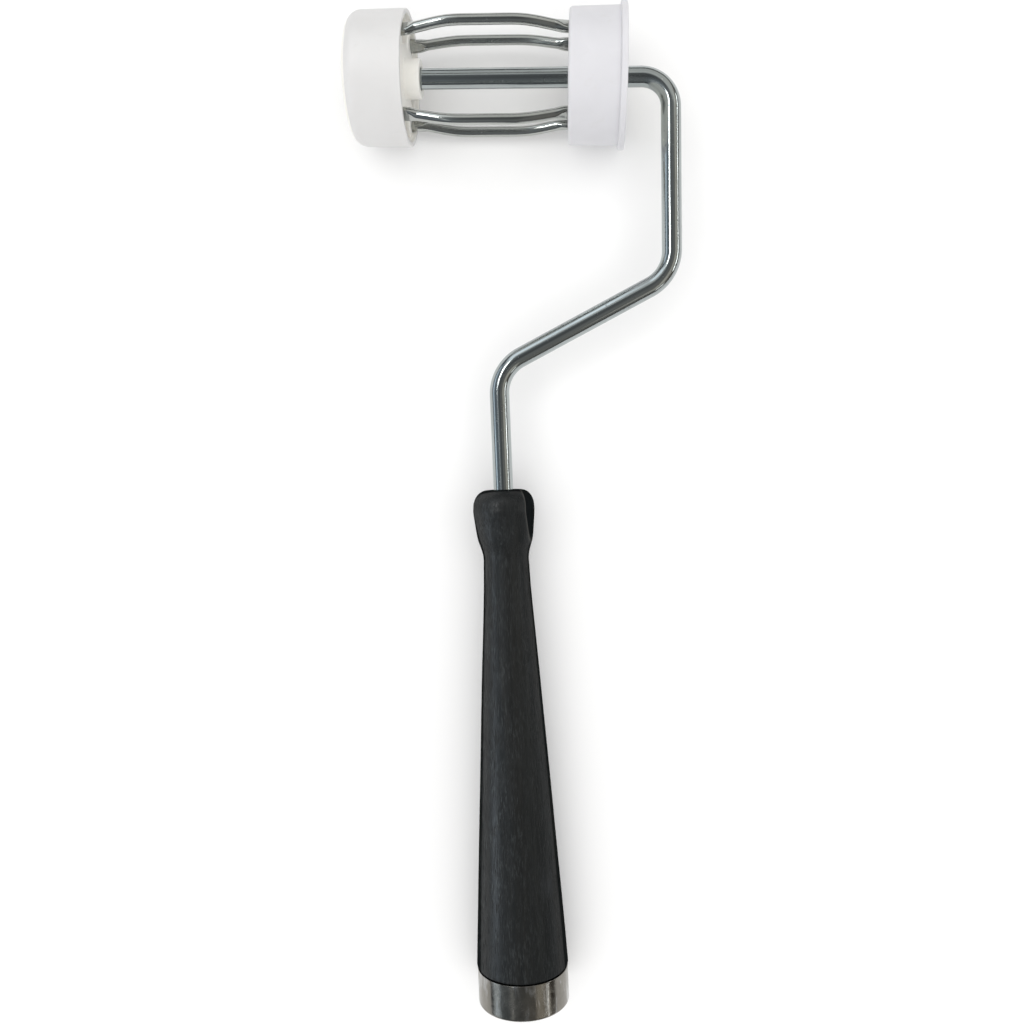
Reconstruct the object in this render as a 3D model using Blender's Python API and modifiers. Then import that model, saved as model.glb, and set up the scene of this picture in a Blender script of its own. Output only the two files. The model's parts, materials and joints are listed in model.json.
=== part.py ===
"""Paint roller frame for a three-inch cover: a wire cage that spins on a bent rod.

The tool frame has +X along the axle from the outboard end to the inboard end, +Y from the
handle towards the axle, and +Z up. Its origin is the middle of the cage, on the axle. The
rod's centre line lies in its XY plane. A root empty then lays the tool down on its three
supports: the outboard cap, the inboard cap's flange and the ferrule.
"""

import math

import bmesh
import bpy
from mathutils import Matrix, Vector

MM = 0.001

# Gaps between separate pieces
FIT_GAP = 0.3 * MM
RUNNING_GAP = 0.3 * MM

# Rod
ROD_RADIUS = 2.95 * MM
FLANGE_TO_LEG = 13.13 * MM
LEG_LENGTH = 57.4 * MM
DIAGONAL_LENGTH = 58.15 * MM
SHANK_LENGTH = 36.1 * MM
LEG_LEAN = math.radians(1.6)
DIAGONAL_LEAN = math.radians(-61.3)
HANDLE_LEAN = math.radians(3.0)
AXLE_BEND_RADIUS = 8.8 * MM
CROOK_BEND_RADIUS = 12.0 * MM
TANG_LENGTH = 60.0 * MM
EAR_LENGTH = 3.5 * MM
EAR_SPAN = 8.4 * MM
EAR_THICKNESS = 2.2 * MM

# Cage
CAGE_LENGTH = 80.75 * MM
CAP_RADIUS = 19.0 * MM
CAP_WALL = 1.6 * MM
CAP_DRAFT = 0.2 * MM
OUTBOARD_CAP_LENGTH = 17.25 * MM
INBOARD_CAP_LENGTH = 16.55 * MM
OUTER_END_ROUNDING = 4.0 * MM
OUTBOARD_MOUTH_ROUNDING = 0.4 * MM
INBOARD_MOUTH_ROUNDING = 1.0 * MM
MOUTH_RECESS = 1.4 * MM
END_WALL = 2.0 * MM
HUB_WALL = 2.4 * MM
HUB_EDGE = 0.3 * MM
OUTBOARD_HUB_STAND = 3.35 * MM
INBOARD_HUB_SET_BACK = 0.6 * MM
FLANGE_LIP = 1.3 * MM
FLANGE_THICKNESS = 1.9 * MM
FLANGE_ROUNDING = 0.6 * MM
BOSS_WALL = 1.8 * MM
POCKET_WALL = 2.0 * MM
POCKET_HALF_ANGLE = math.radians(26.0)

# Retaining hardware
WASHER_RADIUS = 6.5 * MM
WASHER_THICKNESS = 0.8 * MM
RECESS_SIDE_ROOM = 1.5 * MM
NUT_SET_BACK = 0.5 * MM
NUT_SHEET = 0.5 * MM
NUT_FLANGE_RADIUS = 6.0 * MM
NUT_HEIGHT = 3.1 * MM
NUT_DOME_ROUNDING = 0.9 * MM
EAR_SET_BACK = 1.1 * MM

# Cage wires
WIRE_COUNT = 4
WIRE_RADIUS = 1.55 * MM
FIRST_WIRE_ANGLE = math.radians(55.1)
WIRE_BOW_PROUD = 1.2 * MM
WIRE_FLAT_LENGTH = 16.6 * MM
PADDLE_HALF_WIDTH = 1.95 * MM
PADDLE_HALF_THICKNESS = 1.05 * MM
PADDLE_START = 5.5 * MM
PADDLE_FULL = 1.5 * MM
SOCKET_WALL = 0.1 * MM
WIRE_SOCKET_DEPTH = 4.5 * MM

# Handle
HANDLE_LENGTH = 157.6 * MM
HEAD_RADIUS = 10.1 * MM
HEAD_TOP_RADIUS = 10.0 * MM
HEAD_TOP_ROUNDING = 5.2 * MM
HEAD_WIDEST = 6.4 * MM
HEAD_WAIST = 9.6 * MM
HEAD_WAIST_RADIUS = 9.4 * MM
HEAD_LENGTH = 14.8 * MM
HEAD_FOOT_RADIUS = 8.3 * MM
HEAD_FLAT_OFFSET = 8.05 * MM
HEAD_FLAT_TOP_INSET = 3.0 * MM
HEAD_FLAT_TURN = math.radians(10.0)
NECK_START = 19.5 * MM
NECK_RADIUS = 6.95 * MM
NECK_LENGTH = 4.5 * MM
TENON_WALL = 1.8 * MM
FERRULE_LENGTH = 11.0 * MM
FERRULE_WALL = 0.8 * MM
GRIP_STEP = 0.15 * MM
GRIP_END_ROUNDING = 0.8 * MM
# How the grip swells from the neck to its end: share of its length, share of its rise
GRIP_SWELL = [(0.078, 0.055), (0.28, 0.28), (0.62, 0.63), (1.0, 1.0)]
POLE_SOCKET_RADIUS = 9.9 * MM
POLE_SOCKET_DEPTH = 25.0 * MM

# Fineness of the round shapes
CAP_STEPS = 44
HANDLE_STEPS = 36
SMALL_STEPS = 32
ARC_STEP = math.radians(18.0)
BEND_STEP = math.radians(11.0)
ROD_BEVEL_RESOLUTION = 6
WIRE_SIDES = 12
WIRE_SECTIONS = 27

# Places along the axle, from the middle of the cage
OUTBOARD_FACE = -CAGE_LENGTH / 2
INBOARD_FACE = CAGE_LENGTH / 2
OUTBOARD_MOUTH = OUTBOARD_FACE + OUTBOARD_CAP_LENGTH
INBOARD_MOUTH = INBOARD_FACE - INBOARD_CAP_LENGTH
OUTBOARD_WEB = OUTBOARD_MOUTH - MOUTH_RECESS
INBOARD_WEB = INBOARD_MOUTH + MOUTH_RECESS
NUT_FACE = OUTBOARD_FACE + NUT_SET_BACK + NUT_HEIGHT
OUTBOARD_WASHER_FACE = NUT_FACE + FIT_GAP
OUTBOARD_SEAT = OUTBOARD_WASHER_FACE + WASHER_THICKNESS + FIT_GAP
ROD_END = OUTBOARD_FACE + NUT_SET_BACK + NUT_SHEET + FIT_GAP
EAR_END = INBOARD_FACE - EAR_SET_BACK
EAR_START = EAR_END - EAR_LENGTH
INBOARD_WASHER_FACE = EAR_START - FIT_GAP - WASHER_THICKNESS
INBOARD_SEAT = INBOARD_WASHER_FACE - FIT_GAP

# Radii that follow from the fits
BORE_RADIUS = ROD_RADIUS + RUNNING_GAP
HUB_RADIUS = BORE_RADIUS + HUB_WALL
RECESS_RADIUS = WASHER_RADIUS + RECESS_SIDE_ROOM
BOSS_RADIUS = RECESS_RADIUS + BOSS_WALL
MOUTH_INNER_RADIUS = CAP_RADIUS - CAP_WALL
FLANGE_RADIUS = CAP_RADIUS + FLANGE_LIP
SOCKET_HALF_WIDTH = PADDLE_HALF_WIDTH + FIT_GAP
SOCKET_HALF_THICKNESS = PADDLE_HALF_THICKNESS + FIT_GAP
WIRE_SEAT_RADIUS = MOUTH_INNER_RADIUS - SOCKET_WALL - SOCKET_HALF_THICKNESS
WIRE_BOW_RADIUS = CAP_RADIUS + WIRE_BOW_PROUD - WIRE_RADIUS
WIRE_ANGLES = [FIRST_WIRE_ANGLE + math.tau * i / WIRE_COUNT for i in range(WIRE_COUNT)]
NUT_DOME_RADIUS = ROD_RADIUS + FIT_GAP + NUT_SHEET
SLEEVE_RADIUS = POLE_SOCKET_RADIUS + FERRULE_WALL
SLEEVE_HOLE_RADIUS = SLEEVE_RADIUS + FIT_GAP
TENON_RADIUS = SLEEVE_HOLE_RADIUS + TENON_WALL
FERRULE_INNER_RADIUS = TENON_RADIUS + FIT_GAP
FERRULE_RADIUS = FERRULE_INNER_RADIUS + FERRULE_WALL
GRIP_END = HANDLE_LENGTH - FERRULE_LENGTH - FIT_GAP
GRIP_END_RADIUS = FERRULE_RADIUS + GRIP_STEP


def clear_scene():
    for item in list(bpy.data.objects):
        bpy.data.objects.remove(item, do_unlink=True)


def new_collection(name):
    collection = bpy.data.collections.new(name)
    bpy.context.scene.collection.children.link(collection)
    return collection


def new_material(name, colour, roughness, metallic):
    material = bpy.data.materials.new(name)
    material.use_nodes = True
    shader = material.node_tree.nodes["Principled BSDF"]
    shader.inputs["Base Color"].default_value = (*colour, 1.0)
    shader.inputs["Roughness"].default_value = roughness
    shader.inputs["Metallic"].default_value = metallic
    material.diffuse_color = (*colour, 1.0)
    return material


def new_empty(name, parent, matrix):
    empty = bpy.data.objects.new(name, None)
    parts.objects.link(empty)
    empty.parent = parent
    empty.matrix_basis = matrix
    return empty


def place(item, collection, parent, material=None):
    """Link an object, parent it and give it its own material."""
    collection.objects.link(item)
    item.parent = parent
    if material:
        item.data.materials.clear()
        item.data.materials.append(material)
    return item


def arc(centre, radius, start, end):
    """Points (r, z) of an arc, its two ends included, turned from start to end."""
    count = max(2, round(abs(end - start) / ARC_STEP))
    angles = [start + (end - start) * i / count for i in range(count + 1)]
    return [(centre[0] + radius * math.cos(a), centre[1] + radius * math.sin(a)) for a in angles]


def runs_downwards(outline):
    """True where a closed outline goes down its outer side."""
    pairs = zip(outline, outline[1:] + outline[:1])
    return sum(r0 * z1 - r1 * z0 for (r0, z0), (r1, z1) in pairs) < 0


def turned(name, outline, steps, parent, material):
    """A solid of revolution about local Z. An outline that starts on the axis ends on it."""
    if not runs_downwards(outline):
        outline = outline[::-1]
    is_ring = min(r for r, _ in outline) > 0
    edges = [(i, i + 1) for i in range(len(outline) - 1)]
    if is_ring:
        edges.append((len(outline) - 1, 0))
    mesh = bpy.data.meshes.new(name)
    mesh.from_pydata([(r, 0, z) for r, z in outline], edges, [])
    item = place(bpy.data.objects.new(name, mesh), parts, parent, material)
    screw = item.modifiers.new("Turn", "SCREW")
    screw.axis = "Z"
    screw.angle = math.tau
    screw.steps = steps
    screw.render_steps = steps
    screw.use_merge_vertices = True
    screw.merge_threshold = 0.01 * MM
    screw.use_smooth_shade = True
    return item


def add_box(shape, size, centre, turn):
    """Add a box to a bmesh, moved to its centre and then turned about Z."""
    matrix = Matrix.Rotation(turn, 4, "Z") @ Matrix.Translation(centre)
    matrix = matrix @ Matrix.Diagonal((*size, 1.0))
    bmesh.ops.create_cube(shape, size=1.0, matrix=matrix)


def add_sector(shape, inner, outer, bottom, top, middle_angle, half_angle):
    """Add a closed slice of a ring to a bmesh."""
    corners = [(inner, bottom), (outer, bottom), (outer, top), (inner, top)]
    turn = Matrix.Rotation(middle_angle - half_angle, 3, "Z")
    face = shape.faces.new([shape.verts.new(turn @ Vector((r, 0, z))) for r, z in corners])
    bmesh.ops.spin(
        shape,
        geom=[face] + list(face.edges) + list(face.verts),
        cent=(0, 0, 0),
        axis=(0, 0, 1),
        angle=2 * half_angle,
        steps=round(2 * half_angle / BEND_STEP),
    )


def new_tool_shape(name, shape, parent):
    """A bmesh as a hidden shape that cuts or joins another object."""
    bmesh.ops.recalc_face_normals(shape, faces=shape.faces)
    mesh = bpy.data.meshes.new(name)
    shape.to_mesh(mesh)
    shape.free()
    item = place(bpy.data.objects.new(name, mesh), cutters, parent)
    item.hide_render = True
    item.display_type = "WIRE"
    return item


def combine(target, other, operation):
    boolean = target.modifiers.new(other.name, "BOOLEAN")
    boolean.operation = operation
    boolean.solver = "EXACT"
    boolean.object = other


def heading(lean):
    """Direction down the handle's side, leaning from -Y towards +X."""
    return Vector((math.sin(lean), -math.cos(lean), 0))


def rod_corners():
    """Rod end, the three bends' corners, the handle's top and the end of the tang."""
    axle_corner = Vector((INBOARD_FACE + FLANGE_TO_LEG, 0, 0))
    leg_corner = axle_corner + LEG_LENGTH * heading(LEG_LEAN)
    shank_corner = leg_corner + DIAGONAL_LENGTH * heading(DIAGONAL_LEAN)
    handle_top = shank_corner + SHANK_LENGTH * heading(HANDLE_LEAN)
    tang_end = handle_top + TANG_LENGTH * heading(HANDLE_LEAN)
    return Vector((ROD_END, 0, 0)), axle_corner, leg_corner, shank_corner, handle_top, tang_end


def bend_points(before, corner, after, radius):
    """Points of the arc that rounds one corner of the rod's centre line."""
    arrive = (corner - before).normalized()
    leave = (after - corner).normalized()
    turn = arrive.angle(leave)
    setback = radius * math.tan(turn / 2)
    start = corner - setback * arrive
    middle = start + radius * (leave - leave.dot(arrive) * arrive).normalized()
    count = round(turn / BEND_STEP)
    swing = Matrix.Rotation(math.copysign(turn / count, arrive.cross(leave).z), 3, "Z")
    points = [start]
    for _ in range(count):
        points.append(middle + swing @ (points[-1] - middle))
    return points


def build_rod(parent):
    rod_end, axle_corner, leg_corner, shank_corner, _, tang_end = rod_corners()
    points = [rod_end]
    points += bend_points(rod_end, axle_corner, leg_corner, AXLE_BEND_RADIUS)
    points += bend_points(axle_corner, leg_corner, shank_corner, CROOK_BEND_RADIUS)
    points += bend_points(leg_corner, shank_corner, tang_end, CROOK_BEND_RADIUS)
    points.append(tang_end)

    curve = bpy.data.curves.new("rod_line", "CURVE")
    curve.dimensions = "3D"
    curve.bevel_depth = ROD_RADIUS
    curve.bevel_resolution = ROD_BEVEL_RESOLUTION
    curve.use_fill_caps = True
    spline = curve.splines.new("POLY")
    spline.points.add(len(points) - 1)
    for point, place_at in zip(spline.points, points):
        point.co = (*place_at, 1.0)
    line = bpy.data.objects.new("rod_line", curve)
    parts.objects.link(line)
    evaluated = line.evaluated_get(bpy.context.evaluated_depsgraph_get())
    mesh = bpy.data.meshes.new_from_object(evaluated)
    shape = bmesh.new()
    shape.from_mesh(mesh)
    bmesh.ops.remove_doubles(shape, verts=shape.verts, dist=0.001 * MM)
    shape.to_mesh(mesh)
    shape.free()
    bpy.data.objects.remove(line, do_unlink=True)
    mesh.shade_smooth()
    mesh.set_sharp_from_angle(angle=math.radians(40))
    steel = new_material("frame_rod", (0.42, 0.44, 0.44), 0.22, 1.0)
    rod = place(bpy.data.objects.new("frame_rod", mesh), parts, parent, steel)

    ears = bmesh.new()
    centre = ((EAR_START + EAR_END) / 2, 0, 0)
    add_box(ears, (EAR_LENGTH, EAR_SPAN, EAR_THICKNESS), centre, 0)
    bmesh.ops.bevel(ears, geom=ears.edges[:], offset=EAR_THICKNESS / 5, segments=2, affect="EDGES")
    combine(rod, new_tool_shape("rod_ears", ears, parent), "UNION")


def cap_plastic(name):
    return new_material(name, (0.86, 0.86, 0.87), 0.45, 0.0)


def cut_pockets_and_sockets(cap, web, into, end, parent):
    """Core the cap out between its wires, and cut one socket for each wire.

    The web is where the pockets open, into is the direction along the axle from the web into
    the cap, and end is the cap's closed face.
    """
    above = web - into * MOUTH_RECESS / 2
    floor = end - into * END_WALL
    pockets = bmesh.new()
    for angle in WIRE_ANGLES:
        middle = angle + math.pi / WIRE_COUNT
        outer = CAP_RADIUS - POCKET_WALL
        low, high = sorted((above, floor))
        add_sector(pockets, BOSS_RADIUS, outer, low, high, middle, POCKET_HALF_ANGLE)
    combine(cap, new_tool_shape(f"{cap.name}_pockets", pockets, parent), "DIFFERENCE")

    sockets = bmesh.new()
    depth = MOUTH_RECESS / 2 + WIRE_SOCKET_DEPTH
    for angle in WIRE_ANGLES:
        centre = (WIRE_SEAT_RADIUS, 0, above + into * depth / 2)
        size = (2 * SOCKET_HALF_THICKNESS, 2 * SOCKET_HALF_WIDTH, depth)
        add_box(sockets, size, centre, angle)
    combine(cap, new_tool_shape(f"{cap.name}_sockets", sockets, parent), "DIFFERENCE")


def build_outboard_cap(parent):
    hub_end = OUTBOARD_MOUTH + OUTBOARD_HUB_STAND
    rim = OUTBOARD_MOUTH_ROUNDING
    small_radius = CAP_RADIUS - CAP_DRAFT
    outline = [
        (BORE_RADIUS, hub_end),
        (HUB_RADIUS - HUB_EDGE, hub_end),
        (HUB_RADIUS, hub_end - HUB_EDGE),
        (HUB_RADIUS, OUTBOARD_WEB),
        (MOUTH_INNER_RADIUS, OUTBOARD_WEB),
    ]
    outline += arc((MOUTH_INNER_RADIUS + rim, OUTBOARD_MOUTH - rim), rim, math.pi, math.pi / 2)
    outline += arc((CAP_RADIUS - rim, OUTBOARD_MOUTH - rim), rim, math.pi / 2, 0)
    end_centre = (small_radius - OUTER_END_ROUNDING, OUTBOARD_FACE + OUTER_END_ROUNDING)
    outline += arc(end_centre, OUTER_END_ROUNDING, 0, -math.pi / 2)
    outline += [
        (RECESS_RADIUS, OUTBOARD_FACE),
        (RECESS_RADIUS, OUTBOARD_SEAT),
        (BORE_RADIUS, OUTBOARD_SEAT),
    ]
    cap = turned("outboard_cap", outline, CAP_STEPS, parent, cap_plastic("outboard_cap"))
    cut_pockets_and_sockets(cap, OUTBOARD_WEB, -1, OUTBOARD_FACE, parent)


def build_inboard_cap(parent):
    hub_end = INBOARD_MOUTH + INBOARD_HUB_SET_BACK
    rim = INBOARD_MOUTH_ROUNDING
    mouth_radius = CAP_RADIUS - CAP_DRAFT
    edge = FLANGE_ROUNDING
    flange_back = INBOARD_FACE - FLANGE_THICKNESS
    outline = [
        (BORE_RADIUS, INBOARD_SEAT),
        (RECESS_RADIUS, INBOARD_SEAT),
        (RECESS_RADIUS, INBOARD_FACE),
    ]
    outline += arc((FLANGE_RADIUS - edge, INBOARD_FACE - edge), edge, math.pi / 2, 0)
    outline += arc((FLANGE_RADIUS - edge, flange_back + edge), edge, 0, -math.pi / 2)
    outline.append((CAP_RADIUS, flange_back))
    outline += arc((mouth_radius - rim, INBOARD_MOUTH + rim), rim, 0, -math.pi / 2)
    outline += [
        (MOUTH_INNER_RADIUS, INBOARD_MOUTH),
        (MOUTH_INNER_RADIUS, INBOARD_WEB),
        (HUB_RADIUS, INBOARD_WEB),
        (HUB_RADIUS, hub_end + HUB_EDGE),
        (HUB_RADIUS - HUB_EDGE, hub_end),
        (BORE_RADIUS, hub_end),
    ]
    cap = turned("inboard_cap", outline, CAP_STEPS, parent, cap_plastic("inboard_cap"))
    cut_pockets_and_sockets(cap, INBOARD_WEB, 1, INBOARD_FACE, parent)


def ease(share):
    """Smooth step from 0 to 1, as a half wave."""
    share = min(max(share, 0.0), 1.0)
    return (1 - math.cos(math.pi * share)) / 2


def wire_section(along):
    """Radius from the axle, half width, half thickness and squareness at a place on a wire."""
    middle = (OUTBOARD_MOUTH + INBOARD_MOUTH) / 2
    if along < middle:
        outside = along - OUTBOARD_WEB
        run = middle - WIRE_FLAT_LENGTH / 2 - OUTBOARD_WEB
    else:
        outside = INBOARD_WEB - along
        run = INBOARD_WEB - middle - WIRE_FLAT_LENGTH / 2
    radius = WIRE_SEAT_RADIUS + (WIRE_BOW_RADIUS - WIRE_SEAT_RADIUS) * ease(outside / run)
    round_share = ease((outside - PADDLE_FULL) / (PADDLE_START - PADDLE_FULL))
    half_width = PADDLE_HALF_WIDTH + (WIRE_RADIUS - PADDLE_HALF_WIDTH) * round_share
    half_thickness = PADDLE_HALF_THICKNESS + (WIRE_RADIUS - PADDLE_HALF_THICKNESS) * round_share
    squareness = 4 - 2 * round_share
    return radius, half_width, half_thickness, squareness


def signed_power(value, power):
    return math.copysign(abs(value) ** power, value)


def build_wire(number, angle, parent):
    """One bowed wire, lofted from its flattened ends to its round middle."""
    start = OUTBOARD_WEB - WIRE_SOCKET_DEPTH + FIT_GAP
    end = INBOARD_WEB + WIRE_SOCKET_DEPTH - FIT_GAP
    step = (end - start) / (WIRE_SECTIONS - 1)
    shape = bmesh.new()
    rings = []
    for i in range(WIRE_SECTIONS):
        along = start + i * step
        radius, half_width, half_thickness, squareness = wire_section(along)
        slope = (wire_section(along + step / 4)[0] - wire_section(along - step / 4)[0]) / (step / 2)
        outward = Vector((1, 0, -slope)).normalized()
        ring = []
        for j in range(WIRE_SIDES):
            turn = math.tau * (j + 0.5) / WIRE_SIDES
            across = half_width * signed_power(math.sin(turn), 2 / squareness)
            out = half_thickness * signed_power(math.cos(turn), 2 / squareness)
            ring.append(shape.verts.new(Vector((radius, across, along)) + out * outward))
        rings.append(ring)
    for ring, following in zip(rings, rings[1:]):
        for j in range(WIRE_SIDES):
            k = (j + 1) % WIRE_SIDES
            shape.faces.new((ring[j], ring[k], following[k], following[j]))
    shape.faces.new(rings[0])
    shape.faces.new(rings[-1])
    bmesh.ops.recalc_face_normals(shape, faces=shape.faces)
    name = f"cage_wire_{number}"
    mesh = bpy.data.meshes.new(name)
    shape.to_mesh(mesh)
    shape.free()
    mesh.shade_smooth()
    mesh.set_sharp_from_angle(angle=math.radians(50))
    steel = new_material(name, (0.45, 0.47, 0.46), 0.25, 1.0)
    wire = place(bpy.data.objects.new(name, mesh), parts, parent, steel)
    wire.rotation_euler = (0, 0, angle)


def build_washer(name, face, parent):
    """A flat washer whose face nearer the outboard end is at the place given."""
    inner = ROD_RADIUS + FIT_GAP
    top = face + WASHER_THICKNESS
    outline = [(inner, top), (WASHER_RADIUS, top), (WASHER_RADIUS, face), (inner, face)]
    steel = new_material(name, (0.5, 0.5, 0.48), 0.35, 1.0)
    turned(name, outline, SMALL_STEPS, parent, steel)


def build_push_nut(parent):
    inner = ROD_RADIUS + FIT_GAP
    dome_end = OUTBOARD_FACE + NUT_SET_BACK
    flange_back = NUT_FACE - NUT_SHEET
    outline = [
        (0, dome_end + NUT_SHEET),
        (inner, dome_end + NUT_SHEET),
        (inner, NUT_FACE),
        (NUT_FLANGE_RADIUS, NUT_FACE),
        (NUT_FLANGE_RADIUS, flange_back),
        (NUT_DOME_RADIUS, flange_back),
    ]
    dome_centre = (NUT_DOME_RADIUS - NUT_DOME_ROUNDING, dome_end + NUT_DOME_ROUNDING)
    outline += arc(dome_centre, NUT_DOME_ROUNDING, 0, -math.pi / 2)
    outline.append((0, dome_end))
    steel = new_material("push_nut", (0.55, 0.55, 0.53), 0.28, 1.0)
    turned("push_nut", outline, SMALL_STEPS, parent, steel)


def smooth_outline(knots, substeps):
    """A curve through (z, r) knots, its slopes taken from each knot's neighbours."""
    slopes = []
    for i in range(len(knots)):
        z0, r0 = knots[max(i - 1, 0)]
        z1, r1 = knots[min(i + 1, len(knots) - 1)]
        slopes.append((r1 - r0) / (z1 - z0))
    points = []
    for i in range(len(knots) - 1):
        (z0, r0), (z1, r1) = knots[i], knots[i + 1]
        span = z1 - z0
        for j in range(substeps):
            t = j / substeps
            r = (2 * t**3 - 3 * t**2 + 1) * r0 + (3 * t**2 - 2 * t**3) * r1
            r += (t**3 - 2 * t**2 + t) * span * slopes[i] + (t**3 - t**2) * span * slopes[i + 1]
            points.append((r, z0 + t * span))
    points.append((knots[-1][1], knots[-1][0]))
    return points


def add_flat_cutter(shape, side):
    """Add the shape that planes one flat on the head and rounds it over at the head's top."""
    outline = []
    for x, z in arc((0, 0), 1, 0, math.pi / 2):
        inset = HEAD_FLAT_TOP_INSET * (1 - x)
        outline.append((HEAD_FLAT_OFFSET - inset, HEAD_TOP_ROUNDING * (1 - z)))
    outline += [
        (outline[-1][0], -MM),
        (2 * HEAD_RADIUS, -MM),
        (2 * HEAD_RADIUS, NECK_START),
        (HEAD_FLAT_OFFSET, NECK_START),
    ]
    width = 3 * HEAD_RADIUS
    turn = Matrix.Rotation(HEAD_FLAT_TURN, 3, "Z")
    corners = [turn @ Vector((side * x, -width / 2, z)) for x, z in outline]
    face = shape.faces.new([shape.verts.new(corner) for corner in corners])
    extruded = bmesh.ops.extrude_face_region(shape, geom=[face])["geom"]
    moved = [item for item in extruded if isinstance(item, bmesh.types.BMVert)]
    bmesh.ops.translate(shape, verts=moved, vec=turn @ Vector((0, width, 0)))


def build_handle(parent):
    """Turned handle. Local Z runs from the head down to the ferrule."""
    rod_hole = ROD_RADIUS + FIT_GAP
    tenon_end = HANDLE_LENGTH - FERRULE_WALL - FIT_GAP
    neck_end = NECK_START + NECK_LENGTH
    grip = GRIP_END - GRIP_END_ROUNDING
    rise = GRIP_END_RADIUS - NECK_RADIUS
    knots = [
        (HEAD_TOP_ROUNDING, HEAD_TOP_RADIUS),
        (HEAD_WIDEST, HEAD_RADIUS),
        (HEAD_WAIST, HEAD_WAIST_RADIUS),
        (HEAD_LENGTH, HEAD_FOOT_RADIUS),
        (NECK_START, NECK_RADIUS),
        (neck_end, NECK_RADIUS),
    ]
    for length_share, rise_share in GRIP_SWELL:
        z = neck_end + length_share * (grip - neck_end)
        knots.append((z, NECK_RADIUS + rise_share * rise))
    top_centre = (HEAD_TOP_RADIUS - HEAD_TOP_ROUNDING, HEAD_TOP_ROUNDING)
    outline = [(0, TANG_LENGTH + FIT_GAP), (rod_hole, TANG_LENGTH + FIT_GAP), (rod_hole, 0)]
    outline += arc(top_centre, HEAD_TOP_ROUNDING, -math.pi / 2, 0)[:-1]
    outline += smooth_outline(knots, 3)
    end_centre = (GRIP_END_RADIUS - GRIP_END_ROUNDING, grip)
    outline += arc(end_centre, GRIP_END_ROUNDING, 0, math.pi / 2)[1:]
    outline += [
        (TENON_RADIUS, GRIP_END),
        (TENON_RADIUS, tenon_end),
        (SLEEVE_HOLE_RADIUS, tenon_end),
        (SLEEVE_HOLE_RADIUS, HANDLE_LENGTH - POLE_SOCKET_DEPTH - FIT_GAP),
        (0, HANDLE_LENGTH - POLE_SOCKET_DEPTH - FIT_GAP),
    ]
    wood = new_material("wood_handle", (0.012, 0.014, 0.016), 0.45, 0.0)
    handle = turned("wood_handle", outline, HANDLE_STEPS, parent, wood)

    flats = bmesh.new()
    for side in (1, -1):
        add_flat_cutter(flats, side)
    combine(handle, new_tool_shape("handle_flats", flats, parent), "DIFFERENCE")


def build_ferrule(parent):
    """Drawn ferrule: skirt round the handle, end wall, and a sleeve for the pole."""
    skirt_top = HANDLE_LENGTH - FERRULE_LENGTH
    wall_back = HANDLE_LENGTH - FERRULE_WALL
    sleeve_end = HANDLE_LENGTH - POLE_SOCKET_DEPTH
    edge = FERRULE_WALL
    outline = [(FERRULE_INNER_RADIUS, skirt_top), (FERRULE_RADIUS, skirt_top)]
    outline += arc((FERRULE_RADIUS - edge, HANDLE_LENGTH - edge), edge, 0, math.pi / 2)
    outline += [
        (POLE_SOCKET_RADIUS, HANDLE_LENGTH),
        (POLE_SOCKET_RADIUS, sleeve_end),
        (SLEEVE_RADIUS, sleeve_end),
        (SLEEVE_RADIUS, wall_back),
        (FERRULE_INNER_RADIUS, wall_back),
    ]
    steel = new_material("ferrule", (0.42, 0.41, 0.39), 0.2, 1.0)
    turned("ferrule", outline, HANDLE_STEPS, parent, steel)


def handle_matrix():
    """Local Z down the handle, local Y up, origin on the head's top."""
    down = heading(HANDLE_LEAN)
    up = Vector((0, 0, 1))
    axes = Matrix((up.cross(down), up, down)).transposed()
    return Matrix.Translation(rod_corners()[4]) @ axes.to_4x4()


def resting_rotation():
    """Turn the tool so that its three round supports stand on a level floor."""
    axle = Vector((1, 0, 0))
    down = heading(HANDLE_LEAN)
    handle_end = rod_corners()[4] + (HANDLE_LENGTH - FERRULE_WALL) * down
    supports = [
        (axle * (OUTBOARD_FACE + OUTER_END_ROUNDING), axle, CAP_RADIUS - CAP_DRAFT),
        (axle * (INBOARD_FACE - FLANGE_THICKNESS / 2), axle, FLANGE_RADIUS),
        (handle_end, down, FERRULE_RADIUS),
    ]
    floor_normal = Vector((0, 0, 1))
    for _ in range(20):
        touches = []
        for centre, axis, radius in supports:
            across = (floor_normal - floor_normal.dot(axis) * axis).normalized()
            touches.append(centre - radius * across)
        floor_normal = (touches[1] - touches[0]).cross(touches[0] - touches[2]).normalized()
    return floor_normal.rotation_difference(Vector((0, 0, 1))).to_matrix().to_4x4()


def stand_on_origin(root):
    """Move the root so that the tool's box stands centred on the world's origin."""
    bpy.context.view_layer.update()
    depsgraph = bpy.context.evaluated_depsgraph_get()
    corners = []
    for item in parts.objects:
        if item.type == "MESH":
            mesh = item.evaluated_get(depsgraph).to_mesh()
            corners += [item.matrix_world @ vertex.co for vertex in mesh.vertices]
    low = Vector([min(corner[i] for corner in corners) for i in range(3)])
    high = Vector([max(corner[i] for corner in corners) for i in range(3)])
    shift = Vector((-(low.x + high.x) / 2, -(low.y + high.y) / 2, -low.z))
    root.matrix_basis = Matrix.Translation(shift) @ root.matrix_basis


clear_scene()
parts = new_collection("wire_cage_roller_frame")
cutters = new_collection("cutters")

tool = new_empty("tool", None, resting_rotation())
# Local Z of the axle empty is the axle, and its local X is the tool frame's Y.
axle_axes = Matrix(((0, 0, 1), (1, 0, 0), (0, 1, 0))).to_4x4()
cage_axis = new_empty("cage_axis", tool, axle_axes)
rod_axis = new_empty("rod_axis", tool, axle_axes)
handle_axis = new_empty("handle_axis", tool, handle_matrix())

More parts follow.
